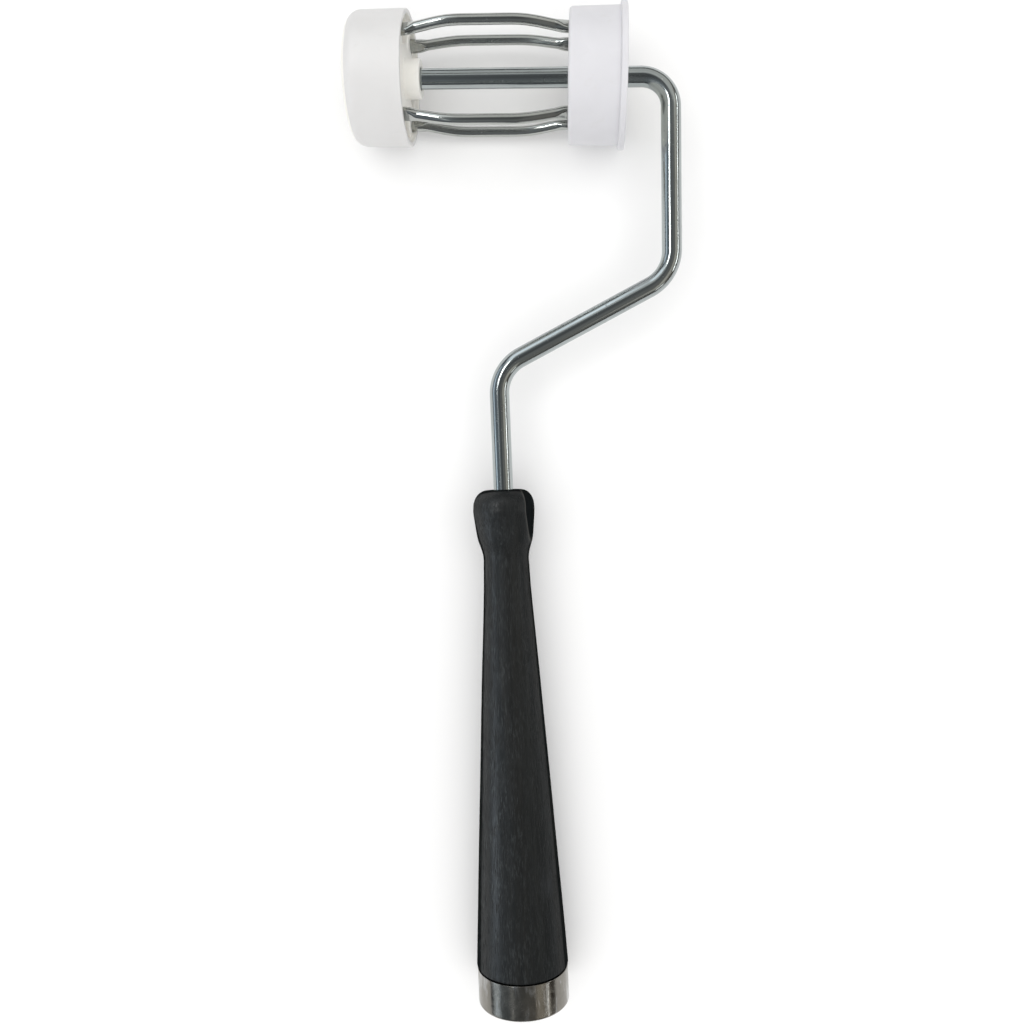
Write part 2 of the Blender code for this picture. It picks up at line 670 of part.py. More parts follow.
build_rod(tool)
build_washer("outboard_washer", OUTBOARD_WASHER_FACE, rod_axis)
build_washer("inboard_washer", INBOARD_WASHER_FACE, rod_axis)
build_push_nut(rod_axis)
build_outboard_cap(cage_axis)
build_inboard_cap(cage_axis)
for index, wire_angle in enumerate(WIRE_ANGLES):
    build_wire(index + 1, wire_angle, cage_axis)
build_handle(handle_axis)
build_ferrule(handle_axis)
stand_on_origin(tool)
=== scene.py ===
import json
import math

import bmesh
import bpy
from mathutils import Matrix, Vector


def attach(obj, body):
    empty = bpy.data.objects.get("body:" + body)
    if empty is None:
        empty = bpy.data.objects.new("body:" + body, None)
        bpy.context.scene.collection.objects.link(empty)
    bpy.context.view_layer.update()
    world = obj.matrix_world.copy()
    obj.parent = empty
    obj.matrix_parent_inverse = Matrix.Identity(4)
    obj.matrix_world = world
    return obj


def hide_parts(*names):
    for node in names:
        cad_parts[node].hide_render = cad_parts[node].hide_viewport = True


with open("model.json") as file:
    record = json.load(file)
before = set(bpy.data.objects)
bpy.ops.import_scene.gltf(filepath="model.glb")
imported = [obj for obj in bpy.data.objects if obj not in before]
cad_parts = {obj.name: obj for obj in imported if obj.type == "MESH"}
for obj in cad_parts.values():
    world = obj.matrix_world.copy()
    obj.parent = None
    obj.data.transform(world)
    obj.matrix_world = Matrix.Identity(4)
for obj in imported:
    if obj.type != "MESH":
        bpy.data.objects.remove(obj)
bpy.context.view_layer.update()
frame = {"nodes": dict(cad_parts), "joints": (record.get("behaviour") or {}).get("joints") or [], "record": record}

MM = 0.001

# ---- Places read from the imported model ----

joint = frame["joints"][0]
mounts = {mount["name"]: mount for mount in frame["record"]["mounts"]}

axle_middle = Vector(joint["pos_m"])
axle_direction = Vector(joint["axis"]).normalized()
handle_direction = Vector(mounts["pole_shoulder"]["axis"]).normalized()
tool_up = handle_direction.cross(axle_direction).normalized()


def matrix_of(x_axis, y_axis, z_axis, origin):
    """A frame with these axes and origin."""
    axes = Matrix((x_axis, y_axis, z_axis)).transposed()
    return Matrix.Translation(origin) @ axes.to_4x4()


# The tool frame: X along the axle to the inboard end, Y away from the handle, Z off the floor.
tool = matrix_of(axle_direction, tool_up.cross(axle_direction), tool_up, axle_middle)
# The cage frame: Z along the axle, X along the tool frame's Y.
cage_frame = tool @ Matrix(((0, 0, 1), (1, 0, 0), (0, 1, 0))).to_4x4()


def node_range(name, frame_matrix):
    """Lowest and highest corners of a CAD node in another frame."""
    back = frame_matrix.inverted()
    points = [back @ vertex.co for vertex in frame["nodes"][name].data.vertices]
    low = Vector([min(point[i] for point in points) for i in range(3)])
    high = Vector([max(point[i] for point in points) for i in range(3)])
    return low, high


pole_face = Vector(mounts["pole_shoulder"]["pos_m"])
handle_end = pole_face - (pole_face - axle_middle).dot(tool_up) * tool_up
handle_side = tool_up.cross(handle_direction)
handle_end_frame = matrix_of(handle_side, tool_up, handle_direction, handle_end)
HANDLE_LENGTH = -node_range("wood_handle", handle_end_frame)[0].z
# The handle frame: origin on the head's top, Z down to the ferrule, Y off the floor.
handle_frame = handle_end_frame @ Matrix.Translation((0, 0, -HANDLE_LENGTH))

outboard_low, outboard_high = node_range("outboard_cap", cage_frame)
inboard_low, inboard_high = node_range("inboard_cap", cage_frame)
OUTBOARD_FACE = outboard_low.z
OUTBOARD_HUB_END = outboard_high.z
INBOARD_FACE = inboard_high.z
INBOARD_MOUTH = inboard_low.z
CAP_RADIUS = 19.0 * MM
FLANGE_RADIUS = 20.3 * MM
ROD_RADIUS = 2.95 * MM

# ---- Sizes of the fine shapes, the same as the CAD model's ----

FIT_GAP = 0.3 * MM
BORE_RADIUS = ROD_RADIUS + FIT_GAP

FLANGE_TO_LEG = 13.13 * MM
LEG_LENGTH = 57.4 * MM
DIAGONAL_LENGTH = 58.15 * MM
SHANK_LENGTH = 36.1 * MM
LEG_LEAN = math.radians(1.6)
DIAGONAL_LEAN = math.radians(-61.3)
HANDLE_LEAN = math.radians(3.0)
AXLE_BEND_RADIUS = 8.8 * MM
CROOK_BEND_RADIUS = 12.0 * MM
TANG_LENGTH = 60.0 * MM
EAR_LENGTH = 3.5 * MM
EAR_SPAN = 8.4 * MM
EAR_SET_BACK = 1.1 * MM
EAR_EASE_SHARE = 0.25
EAR_SHARPNESS = 8
EAR_PINCH = 0.12
BEND_FLATTENING = 0.025
ROD_END_TAPER = 0.18
ROD_END_ROUNDING = 0.8 * MM

CAP_WALL = 1.6 * MM
CAP_DRAFT = 0.2 * MM
OUTBOARD_CAP_LENGTH = 17.25 * MM
OUTER_END_ROUNDING = 4.0 * MM
OUTBOARD_MOUTH_ROUNDING = 0.4 * MM
INBOARD_MOUTH_ROUNDING = 1.0 * MM
MOUTH_RECESS = 1.4 * MM
END_WALL = 2.0 * MM
HUB_RADIUS = 5.65 * MM
HUB_EDGE = 0.3 * MM
INBOARD_HUB_SET_BACK = 0.6 * MM
FLANGE_THICKNESS = 1.9 * MM
FLANGE_ROUNDING = 0.6 * MM
RECESS_RADIUS = 8.0 * MM
BOSS_RADIUS = 9.8 * MM
POCKET_WALL = 2.0 * MM
POCKET_HALF_ANGLE = math.radians(26.0)
POCKET_CORNER = 1.0 * MM
SOCKET_CORNER = 0.35 * MM
CUT_CHAMFER = 0.2 * MM
CAP_FILLET = 0.4 * MM
INBOARD_LIP_ROUNDING = 0.25 * MM

WASHER_RADIUS = 6.5 * MM
WASHER_THICKNESS = 0.8 * MM
WASHER_EDGE = 0.12 * MM
NUT_SET_BACK = 0.5 * MM
NUT_SHEET = 0.5 * MM
NUT_FLANGE_RADIUS = 6.0 * MM
NUT_HEIGHT = 3.1 * MM
NUT_DOME_ROUNDING = 0.9 * MM
NUT_ROOT_FILLET = 0.25 * MM
NUT_EDGE = 0.1 * MM

WIRE_COUNT = 4
WIRE_RADIUS = 1.55 * MM
FIRST_WIRE_ANGLE = math.radians(55.1)
WIRE_BOW_PROUD = 1.2 * MM
# The bow eases into its flat a little more gently than the CAD model's, within 0.1 mm of it.
WIRE_FLAT_LENGTH = 10.4 * MM
WIRE_BOW_POWER = 1.5
PADDLE_HALF_WIDTH = 1.95 * MM
PADDLE_HALF_THICKNESS = 1.05 * MM
PADDLE_START = 5.5 * MM
PADDLE_FULL = 1.5 * MM
SOCKET_WALL = 0.1 * MM
WIRE_SOCKET_DEPTH = 4.5 * MM

HEAD_RADIUS = 10.1 * MM
HEAD_TOP_RADIUS = 10.0 * MM
HEAD_TOP_ROUNDING = 5.2 * MM
HEAD_WIDEST = 6.4 * MM
HEAD_WAIST = 9.6 * MM
HEAD_WAIST_RADIUS = 9.4 * MM
HEAD_LENGTH = 14.8 * MM
HEAD_FOOT_RADIUS = 8.3 * MM
HEAD_FLAT_OFFSET = 8.05 * MM
HEAD_FLAT_TOP_INSET = 3.0 * MM
HEAD_FLAT_TURN = math.radians(10.0)
HEAD_RIDGE_SOFTNESS = 0.06 * MM
# The paler band along the head's ridges, partly edge wear and partly a painted highlight on the sharp edges, is
# this wide.
RIDGE_WEAR_AND_SHEEN_WIDTH = 0.22 * MM
NECK_START = 19.5 * MM
NECK_RADIUS = 6.95 * MM
NECK_LENGTH = 4.5 * MM
FERRULE_LENGTH = 11.0 * MM
FERRULE_WALL = 0.8 * MM
FERRULE_RADIUS = 13.9 * MM
FERRULE_BURR = 0.15 * MM
GRIP_STEP = 0.15 * MM
GRIP_END_ROUNDING = 0.8 * MM
# How far along the grip, and how much of its swell it has there, as shares of the whole
GRIP_SWELL = [(0.078, 0.055), (0.28, 0.28), (0.62, 0.63), (1.0, 1.0)]
GRIP_UNEVENNESS = 0.03 * MM
GRIP_EASE_LENGTH = 10 * MM
POLE_SOCKET_RADIUS = 9.9 * MM
POLE_SOCKET_DEPTH = 25.0 * MM
THREAD_PITCH = 5.08 * MM
THREAD_DEPTH = 0.9 * MM
THREAD_MOUTH_GAP = 1.2 * MM
THREAD_END_GAP = 0.5 * MM
THREAD_EASE_LENGTH = 2 * MM

OUTBOARD_MOUTH = OUTBOARD_FACE + OUTBOARD_CAP_LENGTH
OUTBOARD_WEB = OUTBOARD_MOUTH - MOUTH_RECESS
INBOARD_WEB = INBOARD_MOUTH + MOUTH_RECESS
MOUTH_INNER_RADIUS = CAP_RADIUS - CAP_WALL
SOCKET_HALF_WIDTH = PADDLE_HALF_WIDTH + FIT_GAP
SOCKET_HALF_THICKNESS = PADDLE_HALF_THICKNESS + FIT_GAP
WIRE_SEAT_RADIUS = MOUTH_INNER_RADIUS - SOCKET_WALL - SOCKET_HALF_THICKNESS
WIRE_BOW_RADIUS = CAP_RADIUS + WIRE_BOW_PROUD - WIRE_RADIUS
WIRE_ANGLES = [FIRST_WIRE_ANGLE + math.tau * i / WIRE_COUNT for i in range(WIRE_COUNT)]
FERRULE_INNER_RADIUS = FERRULE_RADIUS - FERRULE_WALL
SLEEVE_RADIUS = POLE_SOCKET_RADIUS + FERRULE_WALL
GRIP_END = HANDLE_LENGTH - FERRULE_LENGTH - FIT_GAP
GRIP_END_RADIUS = FERRULE_RADIUS + GRIP_STEP

# Angles of a half and a quarter turn
HALF = math.pi
RIGHT = math.pi / 2

# Fineness of the round shapes
ARC_STEP = math.radians(6.0)
FINE_STEP = math.radians(2.0)
CORNER_STEPS = 6
SMALL_CORNER_STEPS = 4
CAP_SEGMENTS = 192
HANDLE_SEGMENTS = 256
SMALL_SEGMENTS = 96
ROD_SIDES = 64
WIRE_SIDES = 40
WIRE_RINGS = 170
HANDLE_SPACING = 0.5 * MM

# ---- Mesh building ----


def new_mesh(name, shape):
    """A mesh made from a bmesh, which is used up."""
    mesh = bpy.data.meshes.new(name)
    shape.to_mesh(mesh)
    shape.free()
    return mesh


def new_object(name, data):
    """An object in the scene."""
    item = bpy.data.objects.new(name, data)
    bpy.context.scene.collection.objects.link(item)
    return item


def add_piece(name, shape, place, body, replaced, material, sharp_angle=35):
    """A finished bmesh as a piece that rides on a body and stands for a CAD node.

    The mesh is put where it belongs, and its own coordinates stay in the attribute "local".
    """
    bmesh.ops.recalc_face_normals(shape, faces=shape.faces)
    if "local" not in shape.verts.layers.float_vector:
        layer = shape.verts.layers.float_vector.new("local")
        for vertex in shape.verts:
            vertex[layer] = vertex.co
    mesh = new_mesh(name, shape)
    mesh.transform(place)
    mesh.shade_smooth()
    mesh.set_sharp_from_angle(angle=math.radians(sharp_angle))
    mesh.materials.append(material)
    piece = new_object(name, mesh)
    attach(piece, body)
    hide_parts(replaced)


def arc(centre, radius, start, end, step=ARC_STEP):
    """Points (r, z) of an arc, its two ends included, turned from start to end.

    An angle of 0 is away from the axis, and RIGHT is up along it.
    """
    count = max(3, round(abs(end - start) / step))
    angles = [start + (end - start) * i / count for i in range(count + 1)]
    return [(centre[0] + radius * math.cos(a), centre[1] + radius * math.sin(a)) for a in angles]


def filled_in(outline, spacing):
    """The same outline with points no further apart than the spacing."""
    points = []
    for (r0, z0), (r1, z1) in zip(outline, outline[1:]):
        count = max(1, math.ceil(math.hypot(r1 - r0, z1 - z0) / spacing))
        points += [(r0 + (r1 - r0) * i / count, z0 + (z1 - z0) * i / count) for i in range(count)]
    points.append(outline[-1])
    return points


def revolve(outline, segments, moved=None, worn_and_sheen=None):
    """Turn an outline about Z. moved(x, y, z) may put a point elsewhere.

    A function given as the last argument gives, for a point's (x, y, z), the share of wear and painted sheen that
    is kept in a float attribute.
    An outline with no point on the axis is a ring, and is closed.
    """
    shape = bmesh.new()
    wear = shape.verts.layers.float.new("worn_and_sheen") if worn_and_sheen else None
    is_ring = min(r for r, _ in outline) > 0
    rings = []
    for r, z in outline:
        if r == 0:
            rings.append([shape.verts.new((0, 0, z))])
            continue
        ring = []
        for j in range(segments):
            angle = math.tau * j / segments
            point = (r * math.cos(angle), r * math.sin(angle), z)
            ring.append(shape.verts.new(moved(*point) if moved else point))
            if worn_and_sheen:
                ring[-1][wear] = worn_and_sheen(*point)
        rings.append(ring)
    following = rings[1:] + rings[:1] if is_ring else rings[1:]
    for ring, after in zip(rings, following):
        join_rings(shape, ring, after)
    return shape


def join_rings(shape, ring, after):
    """Faces between two rings of points, either of which may be a single point."""
    count = max(len(ring), len(after))
    for j in range(count):
        k = (j + 1) % count
        if len(ring) == 1:
            shape.faces.new((ring[0], after[k], after[j]))
        elif len(after) == 1:
            shape.faces.new((ring[j], ring[k], after[0]))
        else:
            shape.faces.new((ring[j], ring[k], after[k], after[j]))


def loft(rings_of_points, straight_places=None):
    """A closed solid through rings of points, with its ends filled."""
    shape = bmesh.new()
    layer = shape.verts.layers.float_vector.new("local") if straight_places else None
    rings = []
    for i, points in enumerate(rings_of_points):
        ring = [shape.verts.new(point) for point in points]
        if layer:
            for vertex, place in zip(ring, straight_places[i]):
                vertex[layer] = place
        rings.append(ring)
    for ring, after in zip(rings, rings[1:]):
        join_rings(shape, ring, after)
    shape.faces.new(rings[0])
    shape.faces.new(rings[-1])
    return shape


def sector_outline(inner, outer, half_angle, corner, grow):
    """A slice of a ring with rounded corners, as (x, y) points about +X, grown by a margin."""
    points = []
    rounded = corner + grow
    for radius, side, inward in ((inner, -1, 1), (outer, -1, -1), (outer, 1, -1), (inner, 1, 1)):
        ring = radius + inward * corner
        angle = side * (half_angle - corner / ring)
        centre = Vector((ring * math.cos(angle), ring * math.sin(angle)))
        out = centre.normalized() * -inward
        along = Vector((-math.sin(angle), math.cos(angle))) * side
        first, second = (out, along) if inward * side < 0 else (along, out)
        for i in range(CORNER_STEPS + 1):
            turn = RIGHT * i / CORNER_STEPS
            points.append(centre + rounded * (first * math.cos(turn) + second * math.sin(turn)))
    return fill_arcs(points)


def fill_arcs(points):
    """Add points to the long stretches that run along a ring."""
    whole = []
    for point, after in zip(points, points[1:] + points[:1]):
        whole.append(point)
        same_ring = abs(point.length - after.length) < 0.01 * MM
        if same_ring and (after - point).length > 2 * MM:
            start = math.atan2(point.y, point.x)
            turn = math.atan2(after.y, after.x) - start
            count = math.ceil(abs(turn) / FINE_STEP)
            for i in range(1, count):
                angle = start + turn * i / count
                whole.append(Vector((math.cos(angle), math.sin(angle))) * point.length)
    return whole


def box_outline(centre_x, half_x, half_y, corner, grow):
    """A rectangle with rounded corners about (centre_x, 0), grown by a margin."""
    points = []
    for quarter, (side_x, side_y) in enumerate(((1, 1), (-1, 1), (-1, -1), (1, -1))):
        centre = Vector((centre_x + side_x * (half_x - corner), side_y * (half_y - corner)))
        for i in range(SMALL_CORNER_STEPS + 1):
            angle = RIGHT * (quarter + i / SMALL_CORNER_STEPS)
            offset = Vector((math.cos(angle), math.sin(angle))) * (corner + grow)
            points.append(centre + offset)
    return points


def cutter(name, outline_at, angles, web, into, floor):
    """Prisms at some angles about Z, that cut pockets from the web to their floor.

    outline_at(grow) gives the shape, and the pocket has a small chamfer at the web.
    """
    layers = [
        (CUT_CHAMFER * 2, web - into * CUT_CHAMFER),
        (0, web + into * CUT_CHAMFER),
        (0, floor),
    ]
    whole = bmesh.new()
    for angle in angles:
        turn = Matrix.Rotation(angle, 3, "Z")
        rings = [[turn @ Vector((*p, z)) for p in outline_at(grow)] for grow, z in layers]
        prism = new_mesh("prism", loft(rings))
        whole.from_mesh(prism)
        bpy.data.meshes.remove(prism)
    bmesh.ops.recalc_face_normals(whole, faces=whole.faces)
    return new_object(name, new_mesh(name, whole))


def cut(shape, cutters):
    """The bmesh with the cutters taken away from it. The cutters are removed."""
    bmesh.ops.recalc_face_normals(shape, faces=shape.faces)
    item = new_object("uncut", new_mesh("uncut", shape))
    for other in cutters:
        boolean = item.modifiers.new(other.name, "BOOLEAN")
        boolean.operation = "DIFFERENCE"
        boolean.solver = "EXACT"
        boolean.object = other
    bpy.context.view_layer.update()
    evaluated = item.evaluated_get(bpy.context.evaluated_depsgraph_get())
    result = bpy.data.meshes.new_from_object(evaluated)
    shape = bmesh.new()
    shape.from_mesh(result)
    bpy.data.meshes.remove(result)
    for other in [item, *cutters]:
        bpy.data.objects.remove(other, do_unlink=True)
    return shape


# ---- Materials ----


class Nodes:
    """Adds nodes to one node tree and links them. Each method gives the new node's output."""

    def __init__(self, tree):
        self.tree = tree

    def link(self, source, socket):
        self.tree.links.new(source, socket)

    def put(self, socket, value):
        """Set a socket to a value, or link it to another socket."""
        if isinstance(value, bpy.types.NodeSocket):
            self.link(value, socket)
        else:
            socket.default_value = value

    def scaled(self, place, scale, turn=(0, 0, 0), shift=(0, 0, 0)):
        node = self.tree.nodes.new("ShaderNodeMapping")
        node.inputs["Scale"].default_value = scale
        node.inputs["Rotation"].default_value = turn
        node.inputs["Location"].default_value = shift
        self.link(place, node.inputs["Vector"])
        return node.outputs["Vector"]

    def noise(self, place, scale, detail=4, roughness=0.55, distortion=0.0):
        node = self.tree.nodes.new("ShaderNodeTexNoise")
        node.inputs["Scale"].default_value = scale
        node.inputs["Detail"].default_value = detail
        node.inputs["Roughness"].default_value = roughness
        node.inputs["Distortion"].default_value = distortion
        self.link(place, node.inputs["Vector"])
        return node.outputs["Fac"]

    def ramp(self, source, stops):
        """stops is [(position, value or colour), ...]."""
        node = self.tree.nodes.new("ShaderNodeValToRGB")
        elements = node.color_ramp.elements
        while len(elements) < len(stops):
            elements.new(0.5)
        for element, (position, value) in zip(elements, stops):
            element.position = position
            colour = value if isinstance(value, tuple) else (value, value, value)
            element.color = (*colour, 1.0)
        self.link(source, node.inputs["Fac"])
        return node.outputs["Color"]

    def mix(self, share, first, second, blend="MIX"):
        node = self.tree.nodes.new("ShaderNodeMix")
        node.data_type = "RGBA"
        node.blend_type = blend
        node.clamp_result = True
        self.put(node.inputs["Factor"], share)
        self.put(node.inputs["A"], first if not isinstance(first, tuple) else (*first, 1.0))
        self.put(node.inputs["B"], second if not isinstance(second, tuple) else (*second, 1.0))
        return node.outputs["Result"]

    def math(self, operation, first, second=0.0, third=0.0):
        node = self.tree.nodes.new("ShaderNodeMath")
        node.operation = operation
        self.put(node.inputs[0], first)
        self.put(node.inputs[1], second)
        self.put(node.inputs[2], third)
        return node.outputs["Value"]

    def split(self, place):
        node = self.tree.nodes.new("ShaderNodeSeparateXYZ")
        self.link(place, node.inputs["Vector"])
        return node.outputs["X"], node.outputs["Y"], node.outputs["Z"]

    def span(self, value, low, high, low_result, high_result):
        """The value's range from low to high, mapped to another range and held at its ends."""
        node = self.tree.nodes.new("ShaderNodeMapRange")
        self.put(node.inputs["Value"], value)
        self.put(node.inputs["From Min"], low)
        self.put(node.inputs["From Max"], high)
        self.put(node.inputs["To Min"], low_result)
        self.put(node.inputs["To Max"], high_result)
        return node.outputs["Result"]


class Surface(Nodes):
    """The nodes of one new material."""

    def __init__(self, name):
        self.material = bpy.data.materials.new(name)
        self.material.use_nodes = True
        super().__init__(self.material.node_tree)
        self.shader = self.tree.nodes["Principled BSDF"]

    def attribute(self, name):
        """The outputs of an attribute of the mesh."""
        node = self.tree.nodes.new("ShaderNodeAttribute")
        node.attribute_name = name
        return node.outputs

    def local(self):
        """The place on a piece, in its own coordinates."""
        return self.attribute("local")["Vector"]

    def bump(self, height, depth, under=None):
        """Bump whose full height is depth, in metres."""
        node = self.tree.nodes.new("ShaderNodeBump")
        node.inputs["Strength"].default_value = 1.0
        node.inputs["Distance"].default_value = depth
        self.link(height, node.inputs["Height"])
        if under:
            self.link(under, node.inputs["Normal"])
        return node.outputs["Normal"]

    def set(self, **values):
        """Put values or links on the shader's sockets."""
        for name, value in values.items():
            self.put(self.shader.inputs[name.replace("_", " ")], value)


def darker(tint, share):
    """A colour times a share."""
    return tuple(c * share for c in tint)


def plated_steel(name, tint, seed):
    """Zinc-plated drawn steel: fine lines along it, cloudy plating, dark specks and nicks."""
    n = Surface(name)
    place = n.local()
    lines = n.noise(n.scaled(place, (1, 1, 0.02)), 2600, 5, 0.6)
    clouds = n.noise(n.scaled(place, (1, 1, 0.35)), 140 + seed, 5, 0.6, 0.4)
    specks = n.noise(place, 900 + seed, 2, 0.5)
    grain = n.noise(place, 3200, 3, 0.6)
    cloud_colour = n.ramp(clouds, [(0.30, darker(tint, 0.80)), (0.62, tint)])
    line_share = n.span(lines, 0.42, 0.62, 0.0, 0.22)
    colour = n.mix(line_share, cloud_colour, darker(tint, 0.55))
    nicks = n.noise(n.scaled(place, (1, 1, 0.3), (0.5, 0.4, 0.0)), 1700 + seed, 2, 0.5)
    bare_metal = (0.80, 0.81, 0.80)
    colour = n.mix(n.span(nicks, 0.73, 0.77, 0.0, 0.7), colour, bare_metal)
    dark = n.span(specks, 0.70, 0.76, 0.0, 0.6)
    dirt = (0.10, 0.10, 0.09)
    colour = n.mix(dark, colour, dirt)
    rough = n.math("ADD", n.span(clouds, 0.3, 0.7, 0.17, 0.07), n.span(lines, 0.4, 0.7, 0.0, 0.06))
    rough = n.math("ADD", rough, n.span(dark, 0.0, 0.6, 0.0, 0.25))
    normal = n.bump(lines, 0.006 * MM)
    normal = n.bump(grain, 0.002 * MM, normal)
    n.set(Base_Color=colour, Roughness=rough, Normal=normal, Metallic=1.0)
    return n.material


def stained_wood(name):
    """Open-grained wood, stained black, with a thin lacquer rubbed through in places. Its head's ridges are paler,
    partly wear and partly painted highlight, and one side is painted paler as a painted sheen. Local Z is the
    grain.
    """
    n = Surface(name)
    place = n.local()
    wander = n.noise(n.scaled(place, (1, 1, 0.22)), 70, 2, 0.5)
    shift = n.span(wander, 0.0, 1.0, -1.0 * MM, 1.0 * MM)
    x, y, z = n.split(place)
    join = n.tree.nodes.new("ShaderNodeCombineXYZ")
    n.link(n.math("ADD", x, shift), join.inputs["X"])
    n.link(n.math("ADD", y, shift), join.inputs["Y"])
    n.link(z, join.inputs["Z"])
    grain_place = join.outputs["Vector"]
    pores = n.noise(n.scaled(grain_place, (1, 1, 0.07)), 2600, 2, 0.5)
    open_pores = n.ramp(pores, [(0.36, 0.0), (0.44, 1.0)])
    streaks = n.noise(n.scaled(grain_place, (1, 1, 0.035)), 900, 4, 0.6)
    rings = n.noise(n.scaled(grain_place, (1.0, 0.35, 0.03)), 300, 3, 0.5, 0.6)
    fine = n.noise(place, 4200, 3, 0.6)
    wear = n.noise(n.scaled(place, (1, 1, 0.4)), 150, 5, 0.62)
    dark_stain, thin_stain = (0.0050, 0.0064, 0.0069), (0.0105, 0.0122, 0.0126)
    ring_brown, pale_fibre = (0.0140, 0.0130, 0.0110), (0.034, 0.039, 0.040)
    rubbed, bare_and_sheen_ridge = (0.028, 0.031, 0.034), (0.062, 0.062, 0.058)
    base = n.ramp(streaks, [(0.30, dark_stain), (0.70, thin_stain)])
    base = n.mix(n.span(rings, 0.45, 0.72, 0.0, 0.4), base, ring_brown)
    patches = n.noise(n.scaled(place, (1, 1, 0.5)), 260, 2, 0.5)
    strokes = n.noise(n.scaled(grain_place, (1, 1, 0.13)), 3000, 2, 0.5)
    pale_share = n.math("MULTIPLY", n.span(strokes, 0.52, 0.64, 0.0, 0.75),
                        n.span(patches, 0.40, 0.60, 0.15, 1.0))
    # One side of the handle is painted paler than the other: a painted sheen on the side the light falls on.
    painted_sheen_side = n.span(x, -6.0 * MM, 4.0 * MM, 1.0, 0.0)
    pale_share = n.math("MULTIPLY", pale_share, n.span(painted_sheen_side, 0.0, 1.0, 0.35, 1.3))
    base = n.mix(pale_share, base, pale_fibre)
    base = n.mix(n.span(wear, 0.60, 0.78, 0.0, 0.45), base, rubbed)
    # The ridges of the head's flats are painted paler: partly edge wear, partly a painted highlight along the
    # sharp edge.
    ridge = n.math("MULTIPLY", n.attribute("worn_and_sheen")["Fac"], n.span(patches, 0.3, 0.6, 0.5, 0.9))
    base = n.mix(ridge, base, bare_and_sheen_ridge)
    dull = n.span(open_pores, 0.0, 1.0, 0.22, 0.0)
    rough = n.math("ADD", n.span(wear, 0.3, 0.7, 0.30, 0.42), dull)
    normal = n.bump(open_pores, 0.06 * MM)
    normal = n.bump(streaks, 0.05 * MM, normal)
    normal = n.bump(fine, 0.004 * MM, normal)
    n.set(Base_Color=base, Roughness=rough, Normal=normal, IOR=1.55)
    # The open grain is matt when it is seen at a slant.
    slant = n.tree.nodes.new("ShaderNodeLayerWeight").outputs["Facing"]
    gloss = n.span(slant, 0.06, 0.66, 0.42, 0.0)
    # The side with the painted sheen is given more gloss as well.
    gloss = n.math("MULTIPLY", gloss, n.span(painted_sheen_side, 0.0, 1.0, 0.55, 1.2))
    n.set(Specular_IOR_Level=gloss)
    return n.material


def white_plastic(name, tint, seed):
    """Moulded white nylon: faint clouding, handling smudges and fine scuffs, with its inside painted paler as
    painted light.
    """
    n = Surface(name)
    place = n.local()
    clouds = n.noise(place, 90 + seed, 4, 0.55, 0.3)
    smudges = n.noise(n.scaled(place, (1, 1, 0.6)), 260 + seed, 5, 0.62, 0.8)
    scuffs = n.noise(n.scaled(place, (1, 0.15, 1), (0.3, 0.5, 0.9)), 1500, 2, 0.5)
    grain = n.noise(place, 2600, 4, 0.6)
    x, y, _ = n.split(place)
    radius = n.math("SQRT", n.math("ADD", n.math("MULTIPLY", x, x), n.math("MULTIPLY", y, y)))
    # The inside of the cap is painted paler than its skin: painted light that stands in for light coming through
    # the nylon into its shaded hollow.
    inside = n.span(radius, MOUTH_INNER_RADIUS + 0.3 * MM, MOUTH_INNER_RADIUS + 0.1 * MM, 0.0, 1.0)
    skin = n.ramp(clouds, [(0.3, darker(tint, 0.955)), (0.7, tint)])
    painted_light_ivory, dirty, scuffed = (0.92, 0.905, 0.86), (0.60, 0.59, 0.56), (0.50, 0.50, 0.50)
    colour = n.mix(inside, skin, painted_light_ivory)
    colour = n.mix(n.span(smudges, 0.60, 0.80, 0.0, 0.30), colour, dirty)
    colour = n.mix(n.span(scuffs, 0.74, 0.80, 0.0, 0.25), colour, scuffed)
    rough = n.span(smudges, 0.3, 0.8, 0.36, 0.52)
    normal = n.bump(grain, 0.006 * MM)
    normal = n.bump(clouds, 0.03 * MM, normal)
    n.set(Base_Color=colour, Roughness=rough, Normal=normal, IOR=1.53)
    n.set(Subsurface_Weight=0.25, Subsurface_Scale=2.0 * MM)
    n.set(Subsurface_Radius=(1.0, 0.95, 0.9))
    return n.material


def ferrule_steel(name):
    """Bright nickel-plated steel with rubbed lines along the handle and finger marks."""
    n = Surface(name)
    place = n.local()
    lines = n.noise(n.scaled(place, (1, 1, 0.03)), 1900, 5, 0.65)
    prints = n.noise(place, 230, 5, 0.65, 1.2)
    scratches = n.noise(n.scaled(place, (1, 1, 0.06), (0.2, 0.35, 0.0)), 2400, 2, 0.5)
    grain = n.noise(place, 3500, 3, 0.6)
    warm, pale, bright = (0.258, 0.245, 0.218), (0.48, 0.485, 0.49), (0.60, 0.585, 0.56)
    smears = n.noise(n.scaled(place, (1, 1, 0.25)), 420, 5, 0.6, 0.8)
    colour = n.ramp(prints, [(0.35, darker(warm, 0.75)), (0.65, warm)])
    colour = n.mix(n.span(smears, 0.52, 0.68, 0.0, 0.8), colour, pale)
    colour = n.mix(n.span(scratches, 0.68, 0.74, 0.0, 0.45), colour, bright)
    rough = n.math("ADD", n.span(prints, 0.35, 0.7, 0.12, 0.26), n.span(lines, 0.4, 0.7, 0.0, 0.08))
    normal = n.bump(lines, 0.004 * MM)
    normal = n.bump(grain, 0.0015 * MM, normal)
    normal = n.bump(prints, 0.03 * MM, normal)
    n.set(Base_Color=colour, Roughness=rough, Normal=normal, Metallic=1.0)
    return n.material


